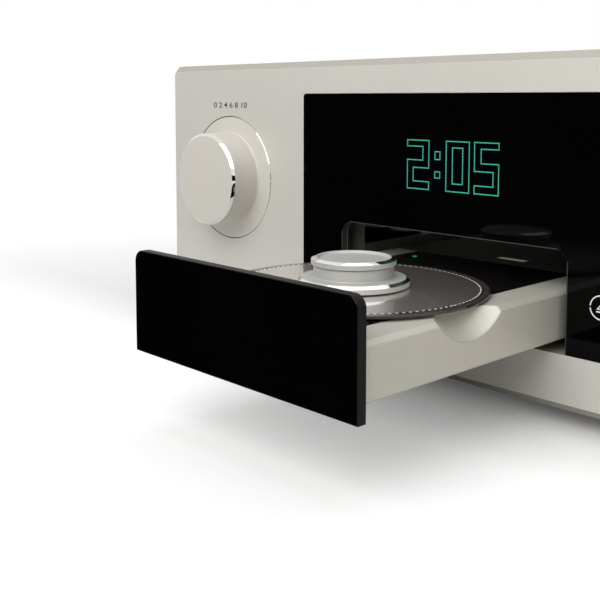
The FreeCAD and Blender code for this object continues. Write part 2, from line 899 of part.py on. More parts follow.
def make_drawer_front():
    x = about("0", DRAWER_WIDTH)
    z = ("ledge_height + drawer_gap", f"{OPENING_TOP} - drawer_gap")
    body = plate(rectangle(x, z), "drawer_depth", f"-{TRAVEL}")
    round_corners(body, "drawer_corner", [(edge, z[1]) for edge in x])
    bevel_front(body, "drawer_bevel")
    keep("drawer_front", body)


def make_tray_body():
    """The machined tray: bevelled top edges, finger scoops, and a cavity open below."""
    flat = f"({TRAY_SIDE} - tray_chamfer_across)"
    shoulder = f"({TRAY_TOP} - tray_chamfer_down)"
    section = [
        (f"-{TRAY_SIDE}", TRAY_BOTTOM),
        (TRAY_SIDE, TRAY_BOTTOM),
        (TRAY_SIDE, shoulder),
        (flat, TRAY_TOP),
        (f"-{flat}", TRAY_TOP),
        (f"-{TRAY_SIDE}", shoulder),
    ]
    bar = plate(section, f"tray_rear - {TRAY_FRONT}", TRAY_FRONT)
    scoop_side = f"({TRAY_SIDE} + scoop_offset)"
    scoop_height = f"({TRAY_TOP} - scoop_depth + sqrt(scoop_radius ^ 2 - scoop_offset ^ 2))"
    scoops = [ball("scoop_radius", x, DISC_DEPTH, scoop_height) for x in (f"-{scoop_side}", scoop_side)]
    plate_floor = f"({TRAY_TOP} - plate_depth)"
    bed_y = (f"{TRAY_FRONT} + plate_front", "plate_rear")
    bed = block(about("0", "plate_width"), bed_y, (plate_floor, TRAY_TOP))
    cavity = cavity_block(CAVITY_TOP, "0")
    lip = cavity_block(f"{TRAY_BOTTOM} + under_wall", "under_lip")
    bar_bed = block(
        about("bar_across", "bar_width"),
        about("bar_depth", "bar_height"),
        (f"{TRAY_TOP} - bar_sink", TRAY_TOP),
    )
    lamp = rod("lamp_radius", "z", ("-lamp_across", "lamp_depth"), CAVITY_TOP, plate_floor)
    tools = scoops + [bed, cavity, lip, bar_bed, lamp] + disc_openings(CAVITY_TOP, plate_floor)
    keep("tray_body", cut(bar, *tools))


def cavity_block(high, extra):
    """The hollow of the tray, or the wider lip that its bottom cover fills."""
    half = f"({CAVITY_SIDE} + {extra})"
    y = (f"{TRAY_FRONT} + cavity_front - {extra}", f"tray_rear - cavity_rear + {extra} / 2")
    return block((f"-{half}", half), y, (TRAY_BOTTOM, high))


def disc_openings(low, high):
    """The round opening for the turntable and the slot for the pickup, under the disc."""
    end = f"({DISC_DEPTH} + slot_reach - slot_half)"
    return [
        rod("table_radius + table_gap", "z", ("0", DISC_DEPTH), low, high),
        block(("-slot_half", "slot_half"), (DISC_DEPTH, end), (low, high)),
        rod("slot_half", "z", ("0", end), low, high),
    ]


def make_tray_fittings():
    low = f"({TRAY_TOP} - plate_depth)"
    y = (f"{TRAY_FRONT} + plate_front", "plate_rear")
    sheet_piece = block(about("0", "plate_width"), y, (low, TRAY_TOP))
    lamp_hole = rod("lamp_radius", "z", ("-lamp_across", "lamp_depth"), low, TRAY_TOP)
    keep("tray_plate", cut(sheet_piece, lamp_hole, *disc_openings(low, TRAY_TOP)))
    lamp = rod("lamp_radius", "z", ("-lamp_across", "lamp_depth"), CAVITY_TOP, f"{TRAY_TOP} + lamp_proud")
    keep("tray_lamp", lamp)
    bar = block(
        about("bar_across", "bar_width"),
        about("bar_depth", "bar_height"),
        (f"{TRAY_TOP} - bar_sink", f"{TRAY_TOP} + bar_proud"),
    )
    keep("sensor_window", bar)
    keep("tray_bottom_cover", cavity_block(f"{TRAY_BOTTOM} + under_wall", "under_lip"))


def make_runners():
    """Plastic runners on the tray's rear sides, each grooved for its rail."""
    y = ("tray_rear - runner_inset - runner_length", "tray_rear - runner_inset")
    z = (RUNNER_LOW, f"{RUNNER_LOW} + runner_height")
    groove_z = (f"{RAIL_LEVEL} - rail_gap", f"{RAIL_LEVEL} + rail_thickness + rail_gap")
    groove = f"({TRAY_SIDE} + rail_entry - rail_gap)"
    left = block((f"-{RUNNER_SIDE}", f"-{TRAY_SIDE}"), y, z)
    keep("tray_runner_left", cut(left, block((f"-{RUNNER_SIDE} - cut_spare", f"-{groove}"), y, groove_z)))
    right = block((TRAY_SIDE, RUNNER_SIDE), y, z)
    keep("tray_runner_right", cut(right, block((groove, f"{RUNNER_SIDE} + cut_spare"), y, groove_z)))
    rail_y = ("frame_front", FRAME_REAR)
    rail_z = (RAIL_LEVEL, f"{RAIL_LEVEL} + rail_thickness")
    rail = f"({TRAY_SIDE} + rail_entry)"
    keep("guide_rail_left", block((f"-{FRAME_INNER}", f"-{rail}"), rail_y, rail_z))
    keep("guide_rail_right", block((rail, FRAME_INNER), rail_y, rail_z))


def make_frame():
    """The folded frame under the tray, on rubber dampers, with the gear pins riveted in."""
    y = ("frame_front", FRAME_REAR)
    floor = block((f"-{FRAME_OUTER}", FRAME_OUTER), y, (FRAME_FLOOR, FRAME_TOP))
    left = block((f"-{FRAME_OUTER}", f"-{FRAME_INNER}"), y, (FRAME_FLOOR, WALL_TOP))
    right = block((FRAME_INNER, FRAME_OUTER), y, (FRAME_FLOOR, WALL_TOP))
    pin_top = f"{TRAY_BOTTOM} - pin_headroom"
    pinion_pin = rod("pin_radius", "z", (PINION_ACROSS, "pinion_depth"), FRAME_FLOOR, pin_top)
    pin_top = f"{WHEEL_TOP} + pin_spare"
    pulley_pin = rod("pin_radius", "z", (PULLEY_ACROSS, PULLEY_DEPTH), FRAME_FLOOR, pin_top)
    shaft_hole = rod("motor_hole", "z", ("motor_across", "motor_depth"), FRAME_FLOOR, FRAME_TOP)
    keep("tray_frame", cut(joined(floor, left, right, pinion_pin, pulley_pin), shaft_hole))
    depths = ("frame_front + damper_inset", f"{FRAME_REAR} - damper_inset")
    across = f"({FRAME_OUTER} - damper_edge)"
    spots = [(x, y) for x in (f"-{across}", across) for y in depths]
    dampers = [rod("damper_radius", "z", spot, FLOOR_TOP, FRAME_FLOOR) for spot in spots]
    keep("frame_dampers", together(*dampers))


# Disc, puck and turntable

def make_disc():
    disc = ring("disc_radius", "disc_hole", "z", ("0", DISC_DEPTH), DISC_LEVEL, DISC_TOP)
    keep("disc", disc)


def make_puck():
    """The clamping puck: wide flange, neck, and a ring with a dished top."""
    at = ("0", DISC_DEPTH)
    profile = [
        ("puck_bore", "puck_pad"),
        ("puck_flange", "puck_pad"),
        ("puck_flange", "puck_flange_top - puck_flange_bevel"),
        ("puck_flange - puck_flange_bevel", "puck_flange_top - puck_flange_crown"),
        ("puck_neck", "puck_flange_top"),
        ("puck_neck", "puck_ring_bottom - puck_groove"),
        ("puck_neck - puck_groove", "puck_ring_bottom - puck_groove"),
        ("puck_neck - puck_groove", "puck_ring_bottom"),
        ("puck_ring", "puck_ring_bottom"),
        ("puck_ring", "puck_ring_bevel"),
        ("puck_face", "puck_height"),
        ("puck_face - puck_rim", "puck_height - puck_dish"),
        ("0", "puck_height - puck_dish"),
        ("0", "magnet_height + magnet_depth"),
        ("magnet_radius", "magnet_height + magnet_depth"),
        ("magnet_radius", "magnet_height"),
        ("puck_bore", "magnet_height"),
    ]
    keep("puck", turned(profile, "z", at, DISC_TOP))
    low = f"({DISC_TOP} + magnet_height)"
    keep("puck_magnet", rod("magnet_radius", "z", at, low, f"{low} + magnet_depth"))
    pad = ring("pad_radius", "puck_bore + pad_inset", "z", at, DISC_TOP, f"{DISC_TOP} + puck_pad")
    keep("puck_pad", pad)


def make_turntable():
    """The turntable and its centring hub, on the spindle."""
    seat = "boss_height + table_depth"
    profile = [
        ("spindle_radius", "0"),
        ("boss_radius", "0"),
        ("boss_radius", "boss_height"),
        ("table_radius", "boss_height"),
        ("table_radius", seat),
        ("disc_hole - hub_gap", seat),
        ("disc_hole - hub_gap", f"{seat} + disc_thickness"),
        ("disc_hole - hub_taper", f"{seat} + hub_rise"),
        ("spindle_radius", f"{seat} + hub_rise"),
    ]
    at = ("0", DISC_DEPTH)
    keep("turntable", turned(profile, "z", at, f"{DISC_LEVEL} - table_depth - boss_height"))
    low = f"({DRIVE_BOTTOM} - motor_height + motor_end)"
    keep("spindle_shaft", rod("spindle_radius", "z", at, low, f"{DISC_LEVEL} + hub_rise"))
    motor = rod("motor_radius", "z", at, f"{DRIVE_BOTTOM} - motor_height", DRIVE_BOTTOM)
    bore = rod("spindle_radius + running_gap", "z", at, f"{low} - shaft_foot_gap", DRIVE_BOTTOM)
    keep("spindle_motor", cut(motor, bore))


# Pickup drive inside the tray

def make_pickup_drive():
    """The drive plate hung under the deck, its sled rods, sled, lens and lead screw."""
    level = (DRIVE_BOTTOM, DRIVE_TOP)
    rear = f"({ROD_END} + clip_length)"
    base_y = (f"{TRAY_FRONT} + drive_front", f"{rear} + drive_spare")
    base = block(about("0", "drive_width"), base_y, level)
    front_clip = (f"{ROD_START} - clip_length", ROD_START)
    rear_clip = (ROD_END, rear)
    height = (f"{ROD_LEVEL} - clip_drop", DRIVE_BOTTOM)
    clips = [block(about("screw_across", "clip_width"), rear_clip, height)]
    for x in ("-rod_across", "rod_across"):
        clips += [block(about(x, "clip_width"), y, height) for y in (front_clip, rear_clip)]
    rods = [(x, ROD_LEVEL) for x in ("-rod_across", "rod_across")]
    ends = (f"{ROD_START} - rod_seat", f"{ROD_END} + rod_seat")
    bores = [rod("rod_radius", "y", spot, *ends) for spot in rods]
    screw_at = ("screw_across", SCREW_LEVEL)
    bore_y = (f"{ROD_END} - cut_spare", f"{rear} + cut_spare")
    bores.append(rod("rod_radius + running_gap", "y", screw_at, *bore_y))
    spindle_hole = rod("spindle_hole", "z", ("0", DISC_DEPTH), *level)
    window_end = f"{LENS_DEPTH} + laser_travel + sled_window"
    window_y = (f"{LENS_DEPTH} - sled_ahead - window_gap", window_end)
    window = block(("-sled_window", "sled_window"), window_y, level)
    keep("drive_plate", cut(joined(base, *clips), spindle_hole, window, *bores))
    depths = (f"{TRAY_FRONT} + grommet_front", f"{ROD_END} - grommet_behind")
    spots = [(x, y) for x in ("-grommet_across", "grommet_across") for y in depths]
    grommets = [rod("grommet_radius", "z", spot, DRIVE_TOP, CAVITY_TOP) for spot in spots]
    keep("drive_grommets", together(*grommets))
    keep("sled_rods", together(*[rod("rod_radius", "y", spot, *ends) for spot in rods]))
    make_sled(rods, screw_at)


def make_sled(rods, screw_at):
    """The pickup sled on its rods, with the lens on top and the lead screw through its side."""
    front = f"({LENS_DEPTH} - sled_ahead)"
    y = (front, f"{front} + sled_length")
    half = "(sled_thickness / 2)"
    level = (f"{ROD_LEVEL} - {half}", f"{ROD_LEVEL} + {half}")
    carriage = block(("-rod_across - sled_edge", "screw_across + sled_edge"), y, level)
    nut = block(about("screw_across", "nut_width"), y, about(SCREW_LEVEL, "nut_height"))
    lens_bed = f"({TRAY_TOP} - lens_gap - lens_thickness)"
    coil_z = (level[1], f"{CAVITY_TOP} - coil_gap")
    coil = block(about("0", "coil_width"), about(LENS_DEPTH, "coil_width"), coil_z)
    turret = rod("lens_radius + lens_wall", "z", ("0", LENS_DEPTH), level[1], lens_bed)
    running = "rod_radius + running_gap"
    through = (f"{y[0]} - cut_spare", f"{y[1]} + cut_spare")
    bores = [rod(running, "y", spot, *through) for spot in [*rods, screw_at]]
    keep("pickup_sled", cut(joined(carriage, nut, coil, turret), *bores))
    keep("pickup_lens", rod("lens_radius", "z", ("0", LENS_DEPTH), lens_bed, f"{TRAY_TOP} - lens_gap"))
    tip = f"({ROD_START} - screw_ahead)"
    keep("lead_screw", rod("rod_radius", "y", screw_at, tip, f"{ROD_END} + screw_behind"))
    rear = f"({ROD_START} - sled_motor_gap)"
    body = rod("sled_motor_radius", "y", screw_at, f"{rear} - sled_motor_length", rear)
    bore = rod(running, "y", screw_at, f"{tip} - sled_motor_gap", f"{rear} + cut_spare")
    bracket_y = (f"{rear} - bracket_depth", rear)
    bracket = block(about("screw_across", "bracket_width"), bracket_y, (SCREW_LEVEL, DRIVE_BOTTOM))
    keep("sled_motor", cut(joined(body, bracket), bore))


# Drawer drive

def make_rack():
    """The rack under the tray, with its straight-flanked teeth towards the pinion."""
    module = number("rack_module")
    pitch = math.pi * module
    low = number(f"pinion_depth - {TRAVEL} - rack_front_spare")
    high = number("pinion_depth + rack_rear_spare")
    tooth_line = number("pinion_depth")
    slope = math.tan(PRESSURE_ANGLE)
    half = pitch / 4 - number("tooth_play") / 4
    reach = number("rack_width")
    depth = ROOT_DEPTH * module
    points = [Vector(-reach, low, 0), Vector(-depth, low, 0)]
    first = math.ceil((low + pitch / 2 - tooth_line) / pitch)
    last = math.floor((high - pitch / 2 - tooth_line) / pitch)
    for step in range(first, last + 1):
        centre = tooth_line + step * pitch
        root = half + depth * slope
        tip = half - module * slope
        points.append(Vector(-depth, centre - root, 0))
        points.append(Vector(module, centre - tip, 0))
        points.append(Vector(module, centre + tip, 0))
        points.append(Vector(-depth, centre + root, 0))
    points += [Vector(-depth, high, 0), Vector(-reach, high, 0)]
    face = Part.Face(Part.makePolygon(points + points[:1]))
    teeth = face.extrude(Vector(0, 0, number("rack_height")))
    keep("tray_rack", shaped(teeth, "-rack_across", "0", RACK_BOTTOM))


def make_gears():
    """The pinion with its wheel, and the belt pulley with its small gear."""
    at = (PINION_ACROSS, "pinion_depth")
    pinion_low = f"({RACK_BOTTOM} + pinion_rise)"
    half_tooth = 180 / number("pinion_teeth")
    mesh = number("mesh_angle")
    wheel = gear("wheel_teeth", "wheel_module", mesh, *at, WHEEL_LEVEL, "wheel_height")
    hub = rod("gear_hub", "z", at, WHEEL_TOP, pinion_low)
    pinion = gear("pinion_teeth", "rack_module", half_tooth, *at, pinion_low, "rack_height - pinion_trim")
    bore = rod("pin_radius + running_gap", "z", at, FRAME_TOP, TRAY_BOTTOM)
    keep("pinion_gear", cut(joined(wheel, hub, pinion), bore))
    at = (PULLEY_ACROSS, PULLEY_DEPTH)
    pulley = rod("belt_pulley", "z", at, BELT_LEVEL, BELT_TOP)
    hub = rod("gear_hub", "z", at, BELT_LEVEL, WHEEL_LEVEL)
    facing = mesh + 180 + 180 / number("small_teeth")
    small = gear("small_teeth", "wheel_module", facing, *at, WHEEL_LEVEL, "wheel_height")
    bore = rod("pin_radius + running_gap", "z", at, FRAME_TOP, TRAY_BOTTOM)
    keep("pulley_gear", cut(joined(pulley, hub, small), bore))


def hull_face(first, first_radius, second, second_radius):
    """The shape that a band makes round two circles: two arcs and their outer tangents."""
    run = second - first
    lean = math.atan2(run.y, run.x)
    open_angle = math.acos((first_radius - second_radius) / run.Length)
    ends = []
    for centre, radius in ((first, first_radius), (second, second_radius)):
        for side in (1, -1):
            angle = lean + side * open_angle
            ends.append(centre + Vector(math.cos(angle), math.sin(angle), 0) * radius)
    far = Vector(math.cos(lean), math.sin(lean), 0)
    edges = [
        Part.LineSegment(ends[0], ends[2]).toShape(),
        Part.Arc(ends[2], second + far * second_radius, ends[3]).toShape(),
        Part.LineSegment(ends[3], ends[1]).toShape(),
        Part.Arc(ends[1], first - far * first_radius, ends[0]).toShape(),
    ]
    return Part.Face(Part.Wire(edges))


def make_belt_drive():
    """The loading motor, its pulley and the belt round both pulleys."""
    at = ("motor_across", "motor_depth")
    low = f"({FLOOR_TOP} + motor_rise)"
    can = rod("loading_radius", "z", at, low, FRAME_FLOOR)
    bore_radius = "motor_shaft_radius + running_gap"
    bore = rod(bore_radius, "z", at, f"{low} + motor_end_wall", FRAME_FLOOR)
    keep("loading_motor", cut(can, bore))
    pulley = rod("motor_pulley", "z", at, BELT_LEVEL, BELT_TOP)
    shaft_z = (f"{low} + motor_shaft_foot", f"{BELT_TOP} + motor_shaft_tip")
    shaft = rod("motor_shaft_radius", "z", at, *shaft_z)
    keep("motor_pulley", joined(pulley, shaft))
    first = Vector(number(PULLEY_ACROSS), number(PULLEY_DEPTH), 0)
    second = Vector(number("motor_across"), number("motor_depth"), 0)
    inner = number("belt_gap")
    outer = inner + number("belt_thickness")
    large, small = number("belt_pulley"), number("motor_pulley")
    loop = hull_face(first, large + outer, second, small + outer)
    loop = loop.cut(hull_face(first, large + inner, second, small + inner))
    band = loop.extrude(Vector(0, 0, number("belt_width")))
    keep("drive_belt", shaped(band, "0", "0", f"{BELT_LEVEL} + belt_inset"))


# Power supply, boards and sockets

def make_inside():
    at = (f"-{POWER_ACROSS}", "case_depth - power_behind")
    top = f"{FLOOR_TOP} + transformer_height"
    winding = rod("transformer_radius", "z", at, FLOOR_TOP, top)
    cap = rod("transformer_radius - cap_inset", "z", at, top, f"{top} + cap_height")
    keep("transformer", joined(winding, cap))
    cans = []
    for step in (-1, 0, 1):
        for row_step in (0, 1):
            y = f"case_depth - capacitor_behind - {row_step} * capacitor_step"
            spot = (f"-{POWER_ACROSS} + {step} * capacitor_pitch", y)
            cans.append(rod("capacitor_radius", "z", spot, FLOOR_TOP, f"{FLOOR_TOP} + capacitor_height"))
    keep("capacitors", together(*cans))
    make_main_board()


def make_main_board():
    """The main board on four posts, with its larger parts as blocks."""
    front = "(case_depth - board_ahead)"
    back = "(case_depth - rear_wall - board_rear_gap)"
    side = f"({INNER_SIDE} - board_side_gap)"
    board = block((BOARD_SIDE, side), (front, back), ("main_board_height", BOARD_TOP))
    chips = []
    for right, behind, width, depth, height in (
        (40, 190, 24, 24, 2),
        (85, 180, 18, 18, 2),
        (60, 130, 60, 30, 14),
        (30, 60, 20, 40, 8),
        (95, 50, 30, 30, 6),
    ):
        x = about(f"{BOARD_SIDE} + {right}", width)
        y = about(f"{front} + {behind}", depth)
        chips.append(block(x, y, (BOARD_TOP, f"{BOARD_TOP} + {height}")))
    across = (f"{BOARD_SIDE} + post_inset", f"{side} - post_inset")
    depths = (f"{front} + post_inset", f"{back} - post_inset")
    corners = [(x, y) for x in across for y in depths]
    posts = [rod("post_radius", "z", corner, FLOOR_TOP, "main_board_height") for corner in corners]
    keep("main_board", joined(board, *chips, *posts))


def make_rear():
    inside = (f"-{INNER_SIDE}", INNER_SIDE)
    panel = block(inside, ("case_depth - rear_wall", "case_depth"), (FLOOR_TOP, COVER_BOTTOM))
    y = ("case_depth - rear_wall - cut_spare", "case_depth + cut_spare")
    x, z = inlet_body()
    inlet = block(x, y, z)
    holes = [rod("coax_stem", "y", (x, "socket_height"), *y) for x in coax_spots()]
    holes.append(rod("balanced_radius", "y", BALANCED_SPOT, *y))
    holes += [block(about(x, "data_width"), y, (BOARD_TOP, "data_top")) for x in data_spots()]
    holes += [rod("screw_shank", "y", spot, *y) for spot in rear_screw_spots()]
    keep("rear_panel", cut(panel, inlet, *holes))
    make_mains_inlet()
    make_sockets()


def inlet_body():
    """The width and the height that the inlet takes in the rear panel."""
    x = about(f"-{INLET_ACROSS}", "inlet_width - 2 * inlet_lip")
    return x, about("inlet_height", "inlet_tall - 2 * inlet_lip")


def coax_spots():
    return [f"{COAX_START} + {step} * socket_pitch" for step in range(4)]


def data_spots():
    return [f"{DATA_START} + {step} * data_pitch" for step in range(3)]


def make_mains_inlet():
    """The mains inlet with its three pins, and the rocker switch beside it."""
    outer_y = ("case_depth", "case_depth + flange_wall")
    middle = about("inlet_height", "inlet_tall")
    flange = block(about(f"-{INLET_ACROSS}", "inlet_width"), outer_y, middle)
    x, z = inlet_body()
    body = block(x, ("case_depth - inlet_depth", "case_depth"), z)
    mouth_y = ("case_depth - mouth_depth", "case_depth + flange_wall")
    mouth_x = f"-{INLET_ACROSS} - mouth_offset"
    mouth = block(about(mouth_x, "mouth_width"), mouth_y, about("inlet_height", "mouth_height"))
    well_x = f"-{INLET_ACROSS} + rocker_offset"
    well = block(about(well_x, "well_width"), mouth_y, about("inlet_height", "well_height"))
    pivot_at = ("case_depth - pivot_depth", "inlet_height")
    bore_x = about(well_x, "2 * (pivot_half + pivot_end_gap)")
    bore = rod("pivot_radius + running_gap", "x", pivot_at, *bore_x)
    shell = cut(joined(flange, body), mouth, well, bore)
    pin_y = ("case_depth - pin_root", "case_depth - pin_tip")
    pins = []
    for across, up in ((-1, -1), (0, 1), (1, -1)):
        pin_x = about(f"{mouth_x} + {across} * pin_pitch", "pin_thickness")
        pin_z = about(f"inlet_height + {up} * pin_drop", "pin_height")
        pins.append(block(pin_x, pin_y, pin_z))
    keep("mains_inlet", joined(shell, *pins))
    outline = [
        ("-rocker_back", "-rocker_back"),
        ("rocker_lower", "-rocker_reach"),
        ("rocker_face", "-rocker_reach + rocker_lip"),
        ("rocker_face", "0"),
        ("rocker_nose", "rocker_nose_height"),
        ("rocker_upper", "rocker_reach"),
        ("-rocker_back", "rocker_back"),
    ]
    lever = bar_along_x(outline, "rocker_width", (f"{well_x} - rocker_width / 2", *pivot_at))
    axle = rod("pivot_radius", "x", pivot_at, *about(well_x, "2 * pivot_half"))
    keep("power_rocker", joined(lever, axle))


def make_sockets():
    """The sockets in the rear panel: coaxial, balanced and data."""
    keep("coax_sockets", together(*[coax_socket(x) for x in coax_spots()]))
    keep("balanced_socket", balanced_socket())
    keep("data_sockets", together(*[data_socket(x) for x in data_spots()]))


def coax_socket(x):
    """A threaded barrel on its nut, with a stem through the panel and a bore for the plug."""
    at = (x, "socket_height")
    face = "case_depth + coax_nut_depth"
    nut = rod("coax_nut", "y", at, "case_depth", face)
    barrel = rod("coax_radius", "y", at, face, REAR_REACH)
    stem = rod("coax_stem", "y", at, "case_depth - coax_stem_depth", "case_depth")
    bore = rod("coax_hole", "y", at, "case_depth - coax_hole_depth", REAR_REACH)
    return cut(joined(nut, barrel, stem), bore)


def balanced_socket():
    """A flanged round shell with three pins in its well."""
    across, up = BALANCED_SPOT
    back = "case_depth"
    front = f"{back} + flange_wall"
    flange_x = about(across, "balanced_flange_width")
    flange = block(flange_x, (back, front), about(up, "balanced_flange_height"))
    shell = rod("balanced_radius", "y", BALANCED_SPOT, f"{back} - balanced_depth", back)
    well = rod("balanced_well", "y", BALANCED_SPOT, f"{back} - balanced_well_depth", front)
    pin_y = (f"{back} - balanced_pin_root", f"{back} - balanced_pin_tip")
    pins = []
    for x, z in (
        ("-balanced_pin_pitch", "balanced_pin_rise"),
        ("balanced_pin_pitch", "balanced_pin_rise"),
        ("0", "-balanced_pin_pitch"),
    ):
        pins.append(rod("balanced_pin", "y", (f"{across} + {x}", f"{up} + {z}"), *pin_y))
    return joined(cut(joined(flange, shell), well), *pins)


def data_socket(x):
    """A square housing that stands on the main board, with a square mouth at the back."""
    face = "case_depth + data_proud"
    shell_y = ("case_depth - data_depth", face)
    shell = block(about(x, "data_width"), shell_y, (BOARD_TOP, "data_top"))
    mouth_y = ("case_depth - data_mouth_depth", face)
    mouth_z = ("data_mouth_bottom", "data_mouth_top")
    return cut(shell, block(about(x, "data_mouth_width"), mouth_y, mouth_z))


def build():
    make_fascia()
    make_front_glass()
    make_display()
    make_case()
    make_screws()
    make_feet()
    for side, sign in (("left", "-"), ("right", "")):
        make_knob(side, sign)
    make_drawer_front()
    make_tray_body()
    make_tray_fittings()
    make_runners()
    make_frame()
    make_disc()
    make_puck()
    make_turntable()
    make_pickup_drive()
    make_rack()
    make_gears()
    make_belt_drive()
    make_inside()
    make_rear()
    doc.recompute()


def check():
    """Stop if any object failed or any piece is missing, empty or not a valid solid."""
    for thing in doc.Objects:
        if "Invalid" in thing.State or "Error" in thing.State:
            raise RuntimeError(f"{thing.Label} failed: {thing.State}")
    labels = [piece.Label for piece in sub_parts]
    if len(set(labels)) != len(labels) or any(label[-3:].isdigit() for label in labels):
        raise RuntimeError("two pieces share a name")
    for piece in sub_parts:
        shape = piece.Shape
        if shape.isNull() or not shape.isValid() or not shape.Solids:
            raise RuntimeError(f"{piece.Label} is not a valid solid")


def write():
    os.makedirs("parts", exist_ok=True)
    for piece in sub_parts:
        piece.Shape.exportStep(f"parts/{piece.Label}.step")
        print(piece.Label, len(piece.Shape.Solids), round(piece.Shape.Volume, 1))


build()
check()
write()
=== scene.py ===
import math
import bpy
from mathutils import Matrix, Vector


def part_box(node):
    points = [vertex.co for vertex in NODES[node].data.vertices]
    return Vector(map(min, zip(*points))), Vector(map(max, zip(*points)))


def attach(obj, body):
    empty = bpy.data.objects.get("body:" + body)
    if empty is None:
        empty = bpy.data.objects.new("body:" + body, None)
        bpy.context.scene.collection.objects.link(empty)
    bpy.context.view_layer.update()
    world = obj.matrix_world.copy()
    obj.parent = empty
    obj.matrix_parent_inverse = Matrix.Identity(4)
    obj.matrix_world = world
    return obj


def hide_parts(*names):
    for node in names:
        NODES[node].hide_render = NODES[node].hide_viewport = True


bl_info = {
    "name": "Disc transport finishes",
    "version": (1, 0, 0),
    "blender": (4, 5, 0),
    "location": "View3D > Sidebar > Transport",
    "description": "Finishes, turned pieces, display and studio for a disc transport with a powered drawer",
    "category": "Object",
}

import bpy
import numpy as np
from mathutils import Vector

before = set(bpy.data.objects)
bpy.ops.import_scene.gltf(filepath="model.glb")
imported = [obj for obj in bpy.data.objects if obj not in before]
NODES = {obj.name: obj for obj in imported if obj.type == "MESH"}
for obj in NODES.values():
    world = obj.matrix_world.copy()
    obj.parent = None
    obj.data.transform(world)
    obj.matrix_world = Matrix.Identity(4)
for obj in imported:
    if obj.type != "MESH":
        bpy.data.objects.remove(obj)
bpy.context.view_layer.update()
MM = 0.001


def lows_highs(node_name):
    """The two corners of a node's box as arrays, in metres."""
    low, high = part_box(node_name)
    return np.array(low), np.array(high)


# Places and sizes read from the frame, in metres

PANEL_LOW, PANEL_HIGH = lows_highs("fascia_panel")
GLASS_LOW = lows_highs("front_glass")[0]
KNOB_LOW, KNOB_HIGH = lows_highs("knob_left")
PUCK_LOW, PUCK_HIGH = lows_highs("puck")
DISC_LOW, DISC_HIGH = lows_highs("disc")
DRAWER_LOW, DRAWER_HIGH = lows_highs("drawer_front")
TRAY_HIGH = lows_highs("tray_body")[1]
PLATE_HIGH = lows_highs("tray_plate")[1]
FASCIA_FRONT, FASCIA_BACK = PANEL_LOW[1], PANEL_HIGH[1]
KNOB_SPOTS = {side: sum(lows_highs(f"knob_{side}")) / 2 for side in ("left", "right")}
PUCK_CENTRE = (PUCK_LOW + PUCK_HIGH) / 2
DISC_CENTRE = (DISC_LOW + DISC_HIGH) / 2
DRAWER_GAP = 0.5 * MM
OPENING_HALF = DRAWER_HIGH[0] + DRAWER_GAP
OPENING_TOP = DRAWER_HIGH[2] + DRAWER_GAP

# Where a finish, painted shade or painted highlight changes, in metres from the face or edge it is named
# after

PAST = 1 * MM
RIM_START = 0.05 * MM
RECESS_START = 0.25 * MM
WALL_START = 4.3 * MM
WALL_FADE = 10 * MM
WALL_FOOT = 26 * MM
WALL_MARGIN = 0.6 * MM
DECK_DEPTH = 0.5 * MM
GLASS_SKIN = 0.1 * MM
DRAWER_SKIN = 0.25 * MM
ARRIS_WIDTH = 0.45 * MM
OPENING_CORNER = 5 * MM
WINDOW_END = 2.3 * MM
SLEEVE_LID = 0.4 * MM


# Colours and materials

def linear(hex_colour):
    """Turn an sRGB hex colour into the linear RGBA that a shader takes."""
    parts = np.array([int(hex_colour[i:i + 2], 16) / 255 for i in (1, 3, 5)])
    value = np.where(parts <= 0.04045, parts / 12.92, ((parts + 0.055) / 1.055) ** 2.4)
    return (*value.tolist(), 1.0)


def socket(sockets, key):
    """The socket with this number, name or identifier."""
    if isinstance(key, int):
        return sockets[key]
    return next(one for one in sockets if key in (one.identifier, one.name))


def node(tree, kind, inputs=None, output=0, **settings):
    """Add a node with its settings and links, and return one of its outputs. Text is a hex colour."""
    made = tree.nodes.new(kind)
    for name, value in settings.items():
        setattr(made, name, value)
    for key, value in (inputs or {}).items():
        target = socket(made.inputs, key)
        if isinstance(value, bpy.types.NodeSocket):
            tree.links.new(value, target)
        else:
            target.default_value = linear(value) if isinstance(value, str) else value
    return socket(made.outputs, output) if made.outputs else None


def material(name, build):
    """The material of this name, made once, whose surface is the shader that build returns."""
    made = bpy.data.materials.get(name)
    if not made:
        made = bpy.data.materials.new(name)
        made.use_nodes = True
        made.node_tree.nodes.clear()
        node(made.node_tree, "ShaderNodeOutputMaterial", {"Surface": build(made.node_tree)})
    return made


def lumps(tree, size, stretch=(1, 1, 1), detail=2.0):
    """Noise in lumps of a real size in millimetres, longer along the stretched axes."""
    place = node(tree, "ShaderNodeTexCoord", output="Object")
    scale = [1 / (size * MM * longer) for longer in stretch]
    place = node(tree, "ShaderNodeMapping", {"Vector": place, "Scale": scale})
    return node(tree, "ShaderNodeTexNoise", {"Vector": place, "Scale": 1.0, "Detail": detail}, "Fac")


def ripple(tree, value, pitch):
    """A steady wave from -1 to 1 along a value: the sine of the value times a full turn per pitch."""
    turns = node(tree, "ShaderNodeMath", {0: value, 1: 2 * math.pi / pitch}, operation="MULTIPLY")
    return node(tree, "ShaderNodeMath", {0: turns}, operation="SINE")


def band(tree, value, low, high, soft):
    """1 where a value lies between low and high, 0 where it doesn't, over soft edges."""
    rise = node(tree, "ShaderNodeMapRange", {"Value": value, "From Min": low - soft, "From Max": low + soft})
    fall = node(tree, "ShaderNodeMapRange", {"Value": value, "From Min": high + soft,
                                             "From Max": high - soft})
    return node(tree, "ShaderNodeMath", {0: rise, 1: fall}, operation="MULTIPLY")


